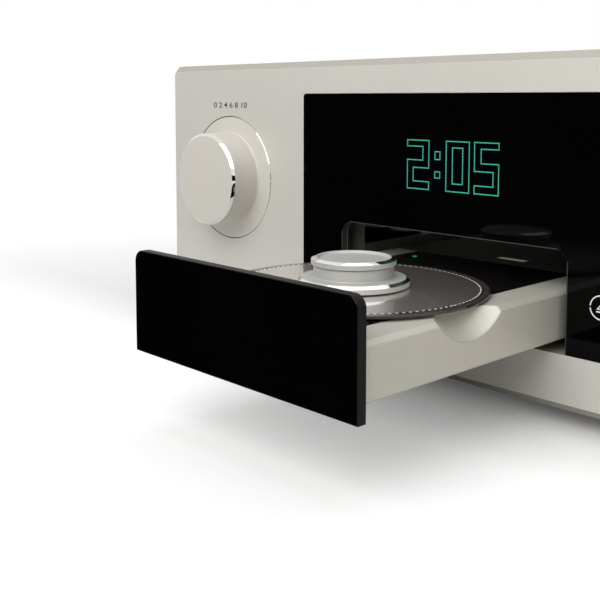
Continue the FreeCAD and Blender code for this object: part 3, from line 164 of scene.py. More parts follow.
def zone(tree, soft=0.05 * MM, **limits):
    """1 inside a box given by two places along each named axis, 0 outside it, over soft edges."""
    place = node(tree, "ShaderNodeTexCoord", output="Object")
    inside = 1.0
    for axis, (low, high) in limits.items():
        value = node(tree, "ShaderNodeSeparateXYZ", {0: place}, axis)
        slab = band(tree, value, low, high, soft)
        inside = node(tree, "ShaderNodeMath", {0: inside, 1: slab}, operation="MULTIPLY")
    return inside


def grained(tree, dark, light, size, rough, depth=0.006, edge=0.2, stretch=(1, 1, 1), cloud=0.0,
            tone=None, height=None, **sockets):
    """A surface whose tone, roughness and relief follow one grain. Sizes are in millimetres: the grain's
    lumps, the relief's depth, the radius of its broken edges and, if given, the slower cloud of its tone."""
    grain = lumps(tree, size, stretch)
    if tone is None:
        tone = lumps(tree, cloud, detail=1.0) if cloud else grain
    colour = node(tree, "ShaderNodeMix", {"Factor_Float": tone, "A_Color": dark, "B_Color": light},
                  "Result_Color", data_type="RGBA")
    roughness = node(tree, "ShaderNodeMapRange", {"Value": grain, "To Min": rough[0], "To Max": rough[1]})
    raised = {"Height": grain if height is None else height, "Distance": depth * MM, "Strength": 1.0}
    if edge:
        raised["Normal"] = node(tree, "ShaderNodeBevel", {"Radius": edge * MM}, samples=4)
    inputs = {"Base Color": colour, "Roughness": roughness, "Normal": node(tree, "ShaderNodeBump", raised)}
    inputs |= {name.replace("_", " "): value for name, value in sockets.items()}
    return node(tree, "ShaderNodeBsdfPrincipled", inputs)


def fascia_metal(tree):
    """Aluminium blasted with fine beads and clear anodised: an even, silky grey. Where the drawer goes in
    behind the glass its walls carry painted shade, dark grey, with painted light that makes them a little
    paler towards the back, and the knobs' recesses carry painted shade too. The chamfers and the edges behind
    them
    carry painted shade: a darker, slightly rougher grey than the face."""
    face = grained(tree, "#D6D3CB", "#DBD8D0", 0.35, (0.46, 0.54), edge=0.3, cloud=60, Metallic=0.35,
                   Specular_IOR_Level=0.3)
    # Painted shade: the chamfers and the edges behind the face are coloured a darker grey.
    dull = grained(tree, "#ABA69B", "#B3AEA3", 0.35, (0.5, 0.58), edge=0.0, Metallic=0.35,
                   Specular_IOR_Level=0.3)
    place = node(tree, "ShaderNodeTexCoord", output="Object")
    depth = node(tree, "ShaderNodeSeparateXYZ", {0: place}, "Y")
    # Painted shade and painted light on the walls inside the opening: dark grey at the front, paler towards
    # the back.
    painted_light_to_back = node(tree, "ShaderNodeMapRange", {
        "Value": depth, "From Min": FASCIA_BACK - WALL_FADE, "From Max": FASCIA_BACK + PAST})
    wall_painted_shade_and_light = grained(tree, "#1F1E1D", "#8A8780", 0.35, (0.35, 0.45), edge=0.0, tone=painted_light_to_back, Metallic=0.3)
    # Painted shade in the knobs' recesses.
    shade = grained(tree, "#23221F", "#2E2C29", 0.35, (0.5, 0.6), edge=0.0)
    rim = zone(tree, Y=(FASCIA_FRONT + RIM_START, FASCIA_BACK + PAST))
    metal = node(tree, "ShaderNodeMixShader", {0: rim, 1: face, 2: dull})
    inside = zone(
        tree,
        X=(-OPENING_HALF - WALL_MARGIN, OPENING_HALF + WALL_MARGIN),
        Y=(GLASS_LOW[1] + WALL_START, FASCIA_BACK + PAST),
        Z=(PANEL_LOW[2] + WALL_FOOT, OPENING_TOP + WALL_MARGIN),
    )
    metal = node(tree, "ShaderNodeMixShader", {0: inside, 1: metal, 2: wall_painted_shade_and_light})
    reach = (KNOB_HIGH[0] - KNOB_LOW[0]) / 2 + PAST
    for spot in KNOB_SPOTS.values():
        recess = zone(
            tree,
            X=(spot[0] - reach, spot[0] + reach),
            Y=(FASCIA_FRONT + RECESS_START, FASCIA_BACK - PAST),
            Z=(spot[2] - reach, spot[2] + reach),
        )
        metal = node(tree, "ShaderNodeMixShader", {0: recess, 1: metal, 2: shade})
    return metal


def tray_metal(tree):
    """Blasted tray with softly broken edges, anodised a little warmer and yellower than the fascia. Its deck
    behind the plate stays in the case and carries painted shade, a dark grey, so that it doesn't shine
    through the opening."""
    metal = grained(tree, "#C8C4B8", "#CFCBC0", 0.35, (0.42, 0.5), edge=1.3, cloud=60, Metallic=0.3)
    # Painted shade on the deck behind the plate, inside the case.
    dark = grained(tree, "#4A4842", "#55524B", 0.35, (0.5, 0.6), edge=0.4, cloud=60, Metallic=0.3)
    deck = zone(tree, Y=(PLATE_HIGH[1] - DECK_DEPTH, TRAY_HIGH[1] + PAST),
                Z=(TRAY_HIGH[2] - DECK_DEPTH, TRAY_HIGH[2] + PAST))
    return node(tree, "ShaderNodeMixShader", {0: deck, 1: metal, 2: dark})


def cover_metal(tree):
    """Anodised cover and side panels, brushed from front to back in fine long lines. The lines are drawn
    0.5 mm apart, coarser than real ones, so that they show."""
    return grained(tree, "#B9B6AE", "#C9C6BE", 0.5, (0.36, 0.48), 0.008, 0.3, (1, 120, 1), Metallic=0.4,
                   Anisotropic=0.4)


def knob_metal(tree):
    """Blasted after turning: the fascia's grey with the faint rings of the tool, 0.5 mm apart."""
    along = node(tree, "ShaderNodeAttribute", output="Fac", attribute_name="along")
    return grained(tree, "#CDC9C0", "#D3CFC7", 0.3, (0.55, 0.63), 0.002, 0.0,
                   height=ripple(tree, along, 0.5), Metallic=0.15, Specular_IOR_Level=0.2)


def puck_metal(tree):
    """The clamping puck, turned and blasted a little finer: a silky, slightly deeper grey."""
    along = node(tree, "ShaderNodeAttribute", output="Fac", attribute_name="along")
    return grained(tree, "#B6B5B0", "#BEBDB8", 0.3, (0.46, 0.54), 0.002, 0.0,
                   height=ripple(tree, along, 0.5), Metallic=0.3)


def diamond_cut(tree):
    """Bevels cut with a diamond after anodising: bright as a mirror, with hair-fine turning marks."""
    along = node(tree, "ShaderNodeAttribute", output="Fac", attribute_name="along")
    return grained(tree, "#DEDDD9", "#E6E5E1", 0.2, (0.05, 0.08), 0.0002, 0.0,
                   height=ripple(tree, along, 0.12), Metallic=1.0)


def feet_metal(tree):
    """Turned and anodised feet: the cover's grey with a soft sheen."""
    return grained(tree, "#BDBAB2", "#C8C5BD", 0.3, (0.34, 0.42), edge=0.4, Metallic=0.5)


# Rings of the disc, as radii in millimetres

DATA_START, DATA_END = 23.0, 58.0
END_LINE = (55.3, 56.05)
RIM_LAYER = (57.0, 59.3)
CLEAR_RING = 0.2
DATA_EDGE, LAYER_EDGE, LINE_EDGE = 0.1, 0.15, 0.05
DASHES = 120
HAZE_SHARE, THIN_SHARE = 0.55, 0.45


def mirrored_disc(tree):
    """Polycarbonate over a mirrored layer: a dark mirror with the haze that its tracks spread, clear and dark
    at hub and rim, and a broken bright line where the data ends, whose faint glow is a painted highlight. The
    line is drawn 0.75 mm wide, so that it shows. The layer goes on thinner to near the rim."""
    across = node(tree, "ShaderNodeAttribute", output="Fac", attribute_name="across")
    turn = node(tree, "ShaderNodeAttribute", output="Fac", attribute_name="turn")
    sharp = grained(tree, "#EAE8EA", "#F0EEF1", 0.8, (0.03, 0.05), 0.0, 0.0, Metallic=1.0)
    haze = grained(tree, "#E0D6D0", "#E8DED8", 0.8, (0.33, 0.38), 0.0, 0.0, Metallic=1.0)
    mirror = node(tree, "ShaderNodeMixShader", {0: HAZE_SHARE, 1: sharp, 2: haze})
    clear = grained(tree, "#2B2724", "#37322E", 0.8, (0.05, 0.08), 0.0, 0.0, IOR=1.585)
    # The end line's white is its own; its faint emission is a painted highlight.
    line = grained(tree, "#E6E4E0", "#F2F0EC", 0.8, (0.3, 0.4), 0.0, 0.0, Emission_Color="#FFFFFF",
                   Emission_Strength=0.25)
    data = band(tree, across, DATA_START, END_LINE[0] - CLEAR_RING, DATA_EDGE)
    thin = band(tree, across, *RIM_LAYER, LAYER_EDGE)
    thin = node(tree, "ShaderNodeMath", {0: thin, 1: THIN_SHARE}, operation="MULTIPLY")
    layer = node(tree, "ShaderNodeMath", {0: data, 1: thin}, operation="MAXIMUM")
    dash = ripple(tree, turn, 2 * math.pi / DASHES)
    dash = node(tree, "ShaderNodeMapRange", {"Value": dash, "From Max": 0.3})
    ring = band(tree, across, *END_LINE, LINE_EDGE)
    dash = node(tree, "ShaderNodeMath", {0: dash, 1: ring}, operation="MULTIPLY")
    under = node(tree, "ShaderNodeMixShader", {0: layer, 1: clear, 2: mirror})
    return node(tree, "ShaderNodeMixShader", {0: dash, 1: under, 2: line})


def painted_glass(tree):
    """Float glass painted black on its back, its face coated against glare and its edges ground: even, deep
    black with a thin pale line round every edge. The broken edge round the opening is drawn 0.45 mm wide, so
    that it shows."""
    deep = grained(tree, "#020202", "#050505", 40, (0.03, 0.06), 0.0, 0.0, Specular_IOR_Level=0.09)
    ground = grained(tree, "#2A2927", "#343230", 0.3, (0.3, 0.45), 0.01, 0.0)
    face = zone(tree, Y=(GLASS_LOW[1] - PAST, GLASS_LOW[1] + GLASS_SKIN))
    glass = node(tree, "ShaderNodeMixShader", {0: face, 1: ground, 2: deep})
    arris = grained(tree, "#34322F", "#3E3C38", 0.3, (0.3, 0.45), 0.0, 0.0)
    straight = OPENING_HALF - OPENING_CORNER
    top = zone(tree, X=(-straight, straight), Z=(OPENING_TOP, OPENING_TOP + ARRIS_WIDTH))
    glass = node(tree, "ShaderNodeMixShader", {0: top, 1: glass, 2: arris})
    for side in ((OPENING_HALF, OPENING_HALF + ARRIS_WIDTH), (-OPENING_HALF - ARRIS_WIDTH, -OPENING_HALF)):
        edge = zone(tree, X=side, Z=(GLASS_LOW[2], OPENING_TOP - OPENING_CORNER))
        glass = node(tree, "ShaderNodeMixShader", {0: edge, 1: glass, 2: arris})
    return glass


def gloss_acrylic(tree):
    """Black acrylic slab with a polished face, and sanded edges that catch a soft, brown-grey light."""
    face = grained(tree, "#020202", "#040404", 40, (0.04, 0.07), 0.0, 0.0, Specular_IOR_Level=0.12)
    sanded = grained(tree, "#171514", "#1D1B19", 0.25, (0.42, 0.5), edge=0.3, Specular_IOR_Level=0.1)
    front = zone(tree, Y=(DRAWER_LOW[1] - PAST, DRAWER_LOW[1] + DRAWER_SKIN))
    return node(tree, "ShaderNodeMixShader", {0: front, 1: sanded, 2: face})


def plate_acrylic(tree):
    """Thin gloss black sheet let into the tray, with hairline wipe marks across it."""
    return grained(tree, "#0D0B0B", "#151313", 1.2, (0.1, 0.18), 0.0008, 0.2, (18, 1, 1),
                   Specular_IOR_Level=0.35)


def window_painted_highlight(tree):
    """Dark acrylic bar over the sensor, whose middle carries a painted highlight: pale, with a faint painted
    glow.
    """
    low, high = lows_highs("sensor_window")
    dark = grained(tree, "#24221E", "#2C2A26", 2.0, (0.3, 0.4), 0.004, 0.2)
    # Painted highlight: a pale tone and a faint painted glow in the window's middle.
    pale = grained(tree, "#A39A88", "#B8AF9D", 2.0, (0.2, 0.26), 0.004, 0.2, Coat_Weight=0.6,
                   Emission_Color="#E8DCC4", Emission_Strength=0.2)
    middle = zone(tree, 0.6 * MM, X=(low[0] + WINDOW_END, high[0] - WINDOW_END))
    return node(tree, "ShaderNodeMixShader", {0: middle, 1: dark, 2: pale})


def green_lamp(tree):
    """A small moulded green lens, lit from below."""
    return grained(tree, "#1E7A5C", "#2F9C78", 0.6, (0.18, 0.25), 0.004, 0.2, Emission_Color="#1FBF93",
                   Emission_Strength=0.4)


def dark_filter(tree):
    """The neutral filter over the display, nearly black from outside."""
    return grained(tree, "#050606", "#0A0C0C", 1.0, (0.18, 0.24), 0.002, 0.2)


def lit_dots(tree):
    """Lit points of the display: blue-green, each a little different in strength."""
    tone = lumps(tree, 2.0, detail=1.0)
    glow = node(tree, "ShaderNodeMix", {"Factor_Float": tone, "A_Color": "#2BA58C", "B_Color": "#45CFB4"},
                "Result_Color", data_type="RGBA")
    return grained(tree, "#0B3B34", "#104A40", 2.0, (0.45, 0.55), 0.0, 0.0, Emission_Color=glow,
                   Emission_Strength=1.0)


def white_ink(tree):
    """Screen-printed white ink, a little thinner in places."""
    return grained(tree, "#D8D8D6", "#ECECEA", 0.5, (0.45, 0.55), 0.004, 0.0)


def grey_ink(tree):
    """Screen-printed dark grey ink, a little thinner in places."""
    return grained(tree, "#33312F", "#403D3A", 0.5, (0.45, 0.55), 0.004, 0.0)


def plated_steel(tree):
    """Zinc-plated sheet: cool grey with the soft crystal patches of the plating, about 6 mm across."""
    place = node(tree, "ShaderNodeTexCoord", output="Object")
    crystals = node(tree, "ShaderNodeTexVoronoi", {"Vector": place, "Scale": 1 / (6 * MM)}, "Distance")
    return grained(tree, "#A9A7A0", "#C2C0B8", 0.6, (0.32, 0.44), tone=crystals, Metallic=0.5)


def ground_steel(tree):
    """Ground and polished steel rod and rail: bright, with fine lines along it."""
    return grained(tree, "#B4B4B2", "#CFCFCD", 0.3, (0.16, 0.26), 0.003, 0.15, (1, 60, 1), Metallic=1.0)


def powder_coat(tree):
    """Baked powder coat: black with the fine orange peel of melted powder."""
    return grained(tree, "#141414", "#1C1C1B", 0.9, (0.42, 0.56), 0.03, 0.4)


def nickel_plate(tree):
    """Nickel-plated steel: warm silver, with fine marks left by tools."""
    return grained(tree, "#A3A19B", "#BFBDB6", 0.4, (0.22, 0.36), 0.006, 0.3, Metallic=1.0)


def soft_rubber(tree):
    """Black rubber: dull and a little dusty, with a fine moulded skin."""
    return grained(tree, "#161514", "#242220", 0.4, (0.7, 0.85), 0.02, 0.3, cloud=9, Sheen_Weight=0.15)


def black_acetal(tree):
    """Moulded black acetal of runners and rack: waxy, with a slight flow pattern."""
    return grained(tree, "#131313", "#1D1D1D", 5.0, (0.3, 0.42), 0.01, 0.15, (1, 3, 1))


def white_acetal(tree):
    """Moulded natural acetal of gears and sleeves: milky and waxy."""
    return grained(tree, "#D9D6CC", "#E6E3DA", 5.0, (0.3, 0.42), 0.01, 0.15, Subsurface_Weight=0.08,
                   Subsurface_Scale=0.5 * MM)


def moulded_plastic(tree):
    """Glass-filled black plastic of sockets and housings, with a spark-eroded skin."""
    return grained(tree, "#101010", "#191919", 0.5, (0.45, 0.6), 0.015, 0.3)


def gloss_plastic(tree):
    """The switch's polished black rocker, with light finger marks in its gloss."""
    return grained(tree, "#0B0B0B", "#121212", 4.0, (0.12, 0.3), 0.002, 0.5)


def gold_plate(tree):
    """Gold-plated brass barrels, with their threads as steady rings 0.8 mm apart."""
    place = node(tree, "ShaderNodeTexCoord", output="Object")
    depth = node(tree, "ShaderNodeSeparateXYZ", {0: place}, "Y")
    return grained(tree, "#C79A4A", "#D8AE5E", 2.0, (0.18, 0.24), 0.08, 0.15,
                   height=ripple(tree, depth, 0.8 * MM), Metallic=1.0)


def turned_brass(tree):
    """Turned brass pulley, warm and bright, with fine lathe lines."""
    return grained(tree, "#B08A45", "#C9A35C", 0.3, (0.22, 0.34), 0.004, 0.15, (40, 40, 1), Metallic=1.0)


def circuit_board(tree):
    """Fibreglass board: green solder mask over a net of copper tracks, 9 mm apart."""
    place = node(tree, "ShaderNodeTexCoord", output="Object")
    tracks = node(tree, "ShaderNodeTexBrick", {
        "Vector": place, "Scale": 1 / (9 * MM), "Mortar Size": 0.03,
        "Color1": "#0F3A26", "Color2": "#123F2A", "Mortar": "#2A6A48"}, "Fac")
    return grained(tree, "#103B27", "#2A6A48", 0.5, (0.28, 0.4), 0.01, 0.15, tone=tracks)


def capacitor_sleeve(tree):
    """Satin blue-black shrink sleeve, over a bare aluminium top."""
    top = lows_highs("capacitors")[1][2]
    sleeve = grained(tree, "#171C2B", "#1F2638", 0.8, (0.3, 0.38), 0.004, 0.5)
    metal = grained(tree, "#B3B1AB", "#C4C2BC", 0.8, (0.36, 0.44), 0.004, 0.5, Metallic=1.0)
    lid = zone(tree, Z=(top - SLEEVE_LID, top + PAST))
    return node(tree, "ShaderNodeMixShader", {0: lid, 1: sleeve, 2: metal})


def varnished_winding(tree):
    """The transformer's varnished tape, wound round and slightly uneven."""
    return grained(tree, "#8A6A2C", "#A6813B", 3.0, (0.25, 0.4), 0.15, 0.6, (12, 12, 1))


def coated_lens(tree):
    """The pickup's lens: dark glass whose coating shines blue-violet."""
    return grained(tree, "#1A1E46", "#2A2A66", 2.0, (0.03, 0.05), 0.0, 0.0, Metallic=0.6, Coat_Weight=1.0)


def cast_zinc(tree):
    """Die-cast pickup sled: dull grey with a faintly rippled skin."""
    return grained(tree, "#77777A", "#8C8C8E", 1.4, (0.42, 0.58), 0.03, 0.25, Metallic=0.8)


# Each finish with the nodes that wear it
NODE_FINISHES = {
    "blasted_anodised_aluminium": (fascia_metal, "fascia_panel"),
    "brushed_anodised_aluminium": (cover_metal, "side_panel_left side_panel_right top_cover"),
    "blasted_tray_aluminium": (tray_metal, "tray_body"),
    "turned_foot_aluminium": (feet_metal, "feet"),
    "back_painted_glass": (painted_glass, "front_glass"),
    "gloss_black_acrylic": (gloss_acrylic, "drawer_front"),
    "black_acrylic_sheet": (plate_acrylic, "tray_plate"),
    "acrylic_window_painted_highlight": (window_painted_highlight, "sensor_window"),
    "green_lamp_lens": (green_lamp, "tray_lamp"),
    "display_filter": (dark_filter, "display_screen"),
    "fibreglass_board": (circuit_board, "display_board main_board"),
    "zinc_plated_steel": (plated_steel, "base_plate tray_frame drive_plate spindle_motor sled_motor"
                                        " loading_motor"),
    "ground_steel": (ground_steel, "guide_rail_left guide_rail_right knob_shaft_left knob_shaft_right"
                                   " spindle_shaft sled_rods lead_screw puck_magnet"),
    "black_powder_coat": (powder_coat, "rear_panel tray_bottom_cover"),
    "nickel_plated_steel": (nickel_plate, "case_screws balanced_socket"),
    "black_rubber": (soft_rubber, "foot_pads frame_dampers drive_grommets drive_belt puck_pad"),
    "black_acetal": (black_acetal, "tray_rack tray_runner_left tray_runner_right turntable"),
    "natural_acetal": (white_acetal, "pinion_gear pulley_gear push_sleeve_left push_sleeve_right"),
    "glass_filled_plastic": (moulded_plastic, "encoder_left encoder_right mains_inlet data_sockets"),
    "gloss_black_plastic": (gloss_plastic, "power_rocker"),
    "gold_plated_brass": (gold_plate, "coax_sockets"),
    "turned_brass": (turned_brass, "motor_pulley"),
    "capacitor_sleeve": (capacitor_sleeve, "capacitors"),
    "varnished_winding": (varnished_winding, "transformer"),
    "coated_lens_glass": (coated_lens, "pickup_lens"),
    "cast_zinc_alloy": (cast_zinc, "pickup_sled"),
}


def dress(node_name, finish):
    """Give a node one material in every slot."""
    for slot in NODES[node_name].material_slots:
        slot.material = finish


# Meshes worked out from formulas

def new_piece(name, vertices, faces, finishes, face_finish=None, attributes=None, smooth_angle=35):
    """Put vertices and faces into a mesh object with its materials and its per-point attributes."""
    mesh = bpy.data.meshes.new(name)
    mesh.from_pydata(vertices.tolist(), [], faces)
    for finish in finishes:
        mesh.materials.append(finish)
    if face_finish is not None:
        mesh.polygons.foreach_set("material_index", np.asarray(face_finish, np.int32))
    for label, values in (attributes or {}).items():
        made = mesh.attributes.new(label, "FLOAT", "POINT")
        made.data.foreach_set("value", np.asarray(values, np.float32))
    mesh.update()
    if smooth_angle:
        mesh.shade_smooth()
        mesh.set_sharp_from_angle(angle=math.radians(smooth_angle))
    piece = bpy.data.objects.new(name, mesh)
    bpy.context.scene.collection.objects.link(piece)
    return piece


def filleted(corners, steps=5):
    """Round the corners of a profile. A corner is (radius, height, fillet, finish of the run after it).
    Each fillet is the arc that touches both runs: it starts and ends at fillet / tan(half the inside angle)
    from the corner, and its points are those of its straight chord at equal steps, moved out to the
    fillet's distance from the arc's centre."""
    points, finish = [], []
    for index, (r, h, fillet, mark) in enumerate(corners):
        here = np.array([r, h])
        if not fillet:
            points.append(here)
            finish.append(mark)
            continue
        back = np.array(corners[index - 1][:2]) - here
        ahead = np.array(corners[(index + 1) % len(corners)][:2]) - here
        back, ahead = back / np.linalg.norm(back), ahead / np.linalg.norm(ahead)
        half = math.acos(np.clip(back @ ahead, -1, 1)) / 2
        middle = (back + ahead) / np.linalg.norm(back + ahead)
        centre = here + middle * fillet / math.sin(half)
        start = here + back * fillet / math.tan(half)
        end = here + ahead * fillet / math.tan(half)
        share = np.linspace(0, 1, steps + 1)[:, None]
        chord = (start - centre) * (1 - share) + (end - centre) * share
        points.extend(centre + fillet * chord / np.linalg.norm(chord, axis=1, keepdims=True))
        finish.extend([corners[index - 1][3]] * (steps // 2) + [mark] * (steps + 1 - steps // 2))
    return np.array(points), np.array(finish)


# A radius below this lies on the axis, in millimetres
ON_AXIS = 1e-7


def turned(name, corners, finishes, centre, facing, steps):
    """A surface of revolution from a closed profile. A point of the profile at (radius, height) goes round
    to (radius cos a, radius sin a, height), then the piece is turned to face its way and moved to its centre.
    Points on the axis are one vertex each, so the poles are closed."""
    profile, marks = filleted(corners)
    angle = np.linspace(0, 2 * np.pi, steps, endpoint=False)
    radius, height = profile[:, :1], profile[:, 1:]
    pole = radius < ON_AXIS
    kept = ~pole | (np.arange(steps) == 0)
    number = np.cumsum(kept).reshape(kept.shape) - 1
    ahead = np.roll(number, -1, 0)
    grid = np.stack([radius * np.cos(angle), radius * np.sin(angle), np.broadcast_to(height, kept.shape)], -1)
    vertices = grid[kept] * MM
    quads = np.stack([number, ahead, np.roll(ahead, -1, 1), np.roll(number, -1, 1)], -1)
    row_pole = pole[:, 0]
    ahead_pole = np.roll(row_pole, -1)
    faces, face_finish = [], []
    for rows, corner in (
        (~row_pole & ~ahead_pole, [0, 1, 2, 3]),
        (row_pole & ~ahead_pole, [0, 1, 2]),
        (~row_pole & ahead_pole, [0, 1, 3]),
    ):
        faces += quads[rows][..., corner].reshape(-1, len(corner)).tolist()
        face_finish += np.repeat(marks[rows], steps).tolist()
    length = np.concatenate([[0], np.cumsum(np.linalg.norm(np.diff(profile, axis=0), axis=1))])
    attributes = {
        "along": np.broadcast_to(length[:, None], kept.shape)[kept],
        "across": np.broadcast_to(radius, kept.shape)[kept],
        "turn": np.broadcast_to(angle, kept.shape)[kept],
    }
    if facing == "front":
        vertices = np.stack([vertices[:, 0], -vertices[:, 2], vertices[:, 1]], 1)
    vertices = vertices + np.asarray(centre)
    faces = outward(vertices, faces)
    return new_piece(name, vertices, faces, finishes, face_finish, attributes)


def outward(vertices, faces):
    """Turn the faces round if the volume that they close counts as negative."""
    corner = np.array([face[:3] for face in faces])
    a, b, c = (vertices[corner[:, i]] - vertices.mean(0) for i in range(3))
    volume = np.einsum("ij,ij->i", a, np.cross(b, c)).sum()
    return [face[::-1] for face in faces] if volume < 0 else faces


def raised_marks(name, outlines, depth, finish):
    """Small flat marks that stand forward from a face. An outline is a ring of corners on the face; the same
    ring lies at the depth in front of it, and one quad per side joins the two."""
    count, sides = outlines.shape[:2]
    vertices = np.concatenate([outlines, outlines - np.array([0, depth, 0])], 1).reshape(-1, 3)
    first = np.arange(count)[:, None] * 2 * sides
    column = np.arange(sides)
    following = (column + 1) % sides
    walls = [first + column, first + following, first + sides + following, first + sides + column]
    faces = (first + sides + column).tolist() + (first + column[::-1]).tolist()
    faces += np.stack(walls, -1).reshape(-1, 4).tolist()
    return new_piece(name, vertices, faces, [finish], smooth_angle=None)


def upright(flat, place):
    """Points of (across, up), stood in the plane of a face at a place."""
    return np.stack([flat[..., 0], np.zeros(flat.shape[:-1]), flat[..., 1]], -1) + np.asarray(place)


# Settings that a user would change

class TurnedSettings(bpy.types.PropertyGroup):
    """Sizes of the turned pieces' details."""
    knob_bevel: bpy.props.FloatProperty(
        name="Knob bevel", description="Width of the polished bevel round the knob's face",
        default=1.5 * MM, min=0.5 * MM, max=5 * MM, unit="LENGTH")
    root_radius: bpy.props.FloatProperty(
        name="Root radius", description="Radius where the knob's side runs out into its wide base",
        default=1.2 * MM, min=0.2 * MM, max=4 * MM, unit="LENGTH")
    steps: bpy.props.IntProperty(
        name="Steps round", description="Number of faces round a turned piece", default=192, min=24, max=360)


class DisplaySettings(bpy.types.PropertyGroup):
    """The lit reading on the front glass."""
    reading: bpy.props.StringProperty(
        name="Reading", description="Digits and colon shown by the display", default="2:05")
    height: bpy.props.FloatProperty(
        name="Height", description="Height of the digits", default=24.6 * MM, unit="LENGTH")
    width: bpy.props.FloatProperty(
        name="Width", description="Width of the whole reading", default=55 * MM, unit="LENGTH")
    pitch: bpy.props.FloatProperty(
        name="Dot pitch", description="Distance from dot to dot", default=0.76 * MM, unit="LENGTH")


class StudioSettings(bpy.types.PropertyGroup):
    """Lamps and surround."""
    key: bpy.props.FloatProperty(
        name="Front softbox", description="Strength of the softbox above the front",
        default=45.0, unit="POWER")
    fill: bpy.props.FloatProperty(
        name="Overhead softbox", description="Strength of the softbox overhead", default=5.2, unit="POWER")
    world: bpy.props.FloatProperty(
        name="Surround", description="Level of the pale surround on the object", default=0.4)


class TransportSettings(bpy.types.PropertyGroup):
    """Everything that the panel shows."""
    turned: bpy.props.PointerProperty(type=TurnedSettings)
    display: bpy.props.PointerProperty(type=DisplaySettings)
    studio: bpy.props.PointerProperty(type=StudioSettings)


# Operators, one for each piece or group of like pieces

class TRANSPORT_OT_finishes(bpy.types.Operator):
    """Give every carried-over node its finish"""
    bl_idname = "transport.finishes"
    bl_label = "Finishes"

    def execute(self, context):
        for name, (build, node_names) in NODE_FINISHES.items():
            for node_name in node_names.split():
                dress(node_name, material(name, build))
        return {"FINISHED"}


# Profile of a knob, in millimetres. Its base lies flush in the fascia, and its grip stands out of it

GRIP_RADIUS = 27.6
GRIP_REACH = 20
BASE_RIM = 0.2
BASE_RISE = 1.2
SHAFT_RADIUS = 3
SHAFT_DEPTH = 12
BEVEL_SLOPE = 0.92
BEVEL_FILLET = 0.12


class TRANSPORT_OT_knobs(bpy.types.Operator):
    """Turn both knobs, each with its wide base and polished bevel"""
    bl_idname = "transport.knobs"
    bl_label = "Knobs"

    def execute(self, context):
        chosen = context.scene.transport.turned
        finishes = [
            material("turned_knob_aluminium", knob_metal),
            material("diamond_cut_aluminium", diamond_cut),
        ]
        depth = (KNOB_HIGH[1] - KNOB_LOW[1]) / MM
        base = (KNOB_HIGH[0] - KNOB_LOW[0]) / 2 / MM
        flush = depth - GRIP_REACH
        bevel = chosen.knob_bevel / MM
        corners = [
            (0, SHAFT_DEPTH, 0, 0),
            (SHAFT_RADIUS, SHAFT_DEPTH, 0, 0),
            (SHAFT_RADIUS, 0, 0, 0),
            (base, 0, 0, 0),
            (base, flush - BASE_RIM, 0, 1),
            (base - BASE_RIM, flush, 0, 0),
            (GRIP_RADIUS, flush + BASE_RISE, chosen.root_radius / MM, 0),
            (GRIP_RADIUS, depth - bevel * BEVEL_SLOPE, BEVEL_FILLET, 1),
            (GRIP_RADIUS - bevel, depth, BEVEL_FILLET, 0),
            (0, depth, 0, 0),
        ]
        for side, spot in KNOB_SPOTS.items():
            centre = (spot[0], KNOB_HIGH[1], spot[2])
            knob = turned(f"turned_knob_{side}", corners, finishes, centre, "front", chosen.steps)
            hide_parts(f"knob_{side}")
            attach(knob, f"turn_{side}")
        return {"FINISHED"}


# Profile of the puck, in millimetres: radii, heights above its underside and sizes of its details

PUCK_BORE, PUCK_NECK, PUCK_RING = 9, 17.9, 18.95
FLANGE_SIDE, FLANGE_TOP, NECK_FOOT = 2.2, 3.4, 3.6
NECK_TOP, RING_FOOT = 8.7, 9.2
FLANGE_BEVEL = 1.4
SEAM_DEPTH = 0.5
RING_BEVEL, RING_BEVEL_DEPTH = 2.1, 0.9
DISH_LIP, DISH_RIM, DISH_DEPTH = 2.6, 3.65, 1.1


class TRANSPORT_OT_puck(bpy.types.Operator):
    """Turn the clamping puck with its polished rims and dished top"""
    bl_idname = "transport.puck"
    bl_label = "Puck"

    def execute(self, context):
        chosen = context.scene.transport.turned
        finishes = [
            material("turned_puck_aluminium", puck_metal),
            material("diamond_cut_aluminium", diamond_cut),
        ]
        height = (PUCK_HIGH[2] - PUCK_LOW[2]) / MM
        flange = (PUCK_HIGH[0] - PUCK_LOW[0]) / 2 / MM
        low, high = lows_highs("puck_magnet")
        magnet = (high[0] - low[0]) / 2 / MM
        under, over = (low[2] - PUCK_LOW[2]) / MM, (high[2] - PUCK_LOW[2]) / MM
        dish = height - DISH_DEPTH
        corners = [
            (PUCK_BORE, 0, 0, 0),
            (flange, 0, 0.15, 0),
            (flange, FLANGE_SIDE, 0.1, 1),
            (flange - FLANGE_BEVEL, FLANGE_TOP, 0.1, 0),
            (PUCK_NECK, NECK_FOOT, 0.6, 0),
            (PUCK_NECK, NECK_TOP, 0.1, 0),
            (PUCK_NECK - SEAM_DEPTH, NECK_TOP, 0, 0),
            (PUCK_NECK - SEAM_DEPTH, RING_FOOT, 0, 0),
            (PUCK_RING, RING_FOOT, 0.12, 0),
            (PUCK_RING, height - RING_BEVEL_DEPTH, 0.1, 1),
            (PUCK_RING - RING_BEVEL, height, 0.1, 0),
            (PUCK_RING - DISH_LIP, height, 0.2, 0),
            (PUCK_RING - DISH_RIM, dish, 0.3, 0),
            (0, dish, 0, 0),
            (0, over, 0, 0),
            (magnet, over, 0, 0),
            (magnet, under, 0, 0),
            (PUCK_BORE, under, 0, 0),
        ]
        centre = (PUCK_CENTRE[0], PUCK_CENTRE[1], PUCK_LOW[2])
        puck = turned("turned_puck", corners, finishes, centre, "up", chosen.steps)
        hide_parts("puck")
        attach(puck, "clamp")
        return {"FINISHED"}


# Profile of the disc, in millimetres: radii and the depths of its stacking groove and of its data zone

HOLE_RADIUS = 7.5
STACK_INNER, STACK_OUTER, STACK_DEPTH = 16.4, 17.4, 0.15
DATA_DEPTH = 0.02
GROOVE_SLOPE = 0.2
STEP_SLOPE = 0.1
MORE_STEPS = 64


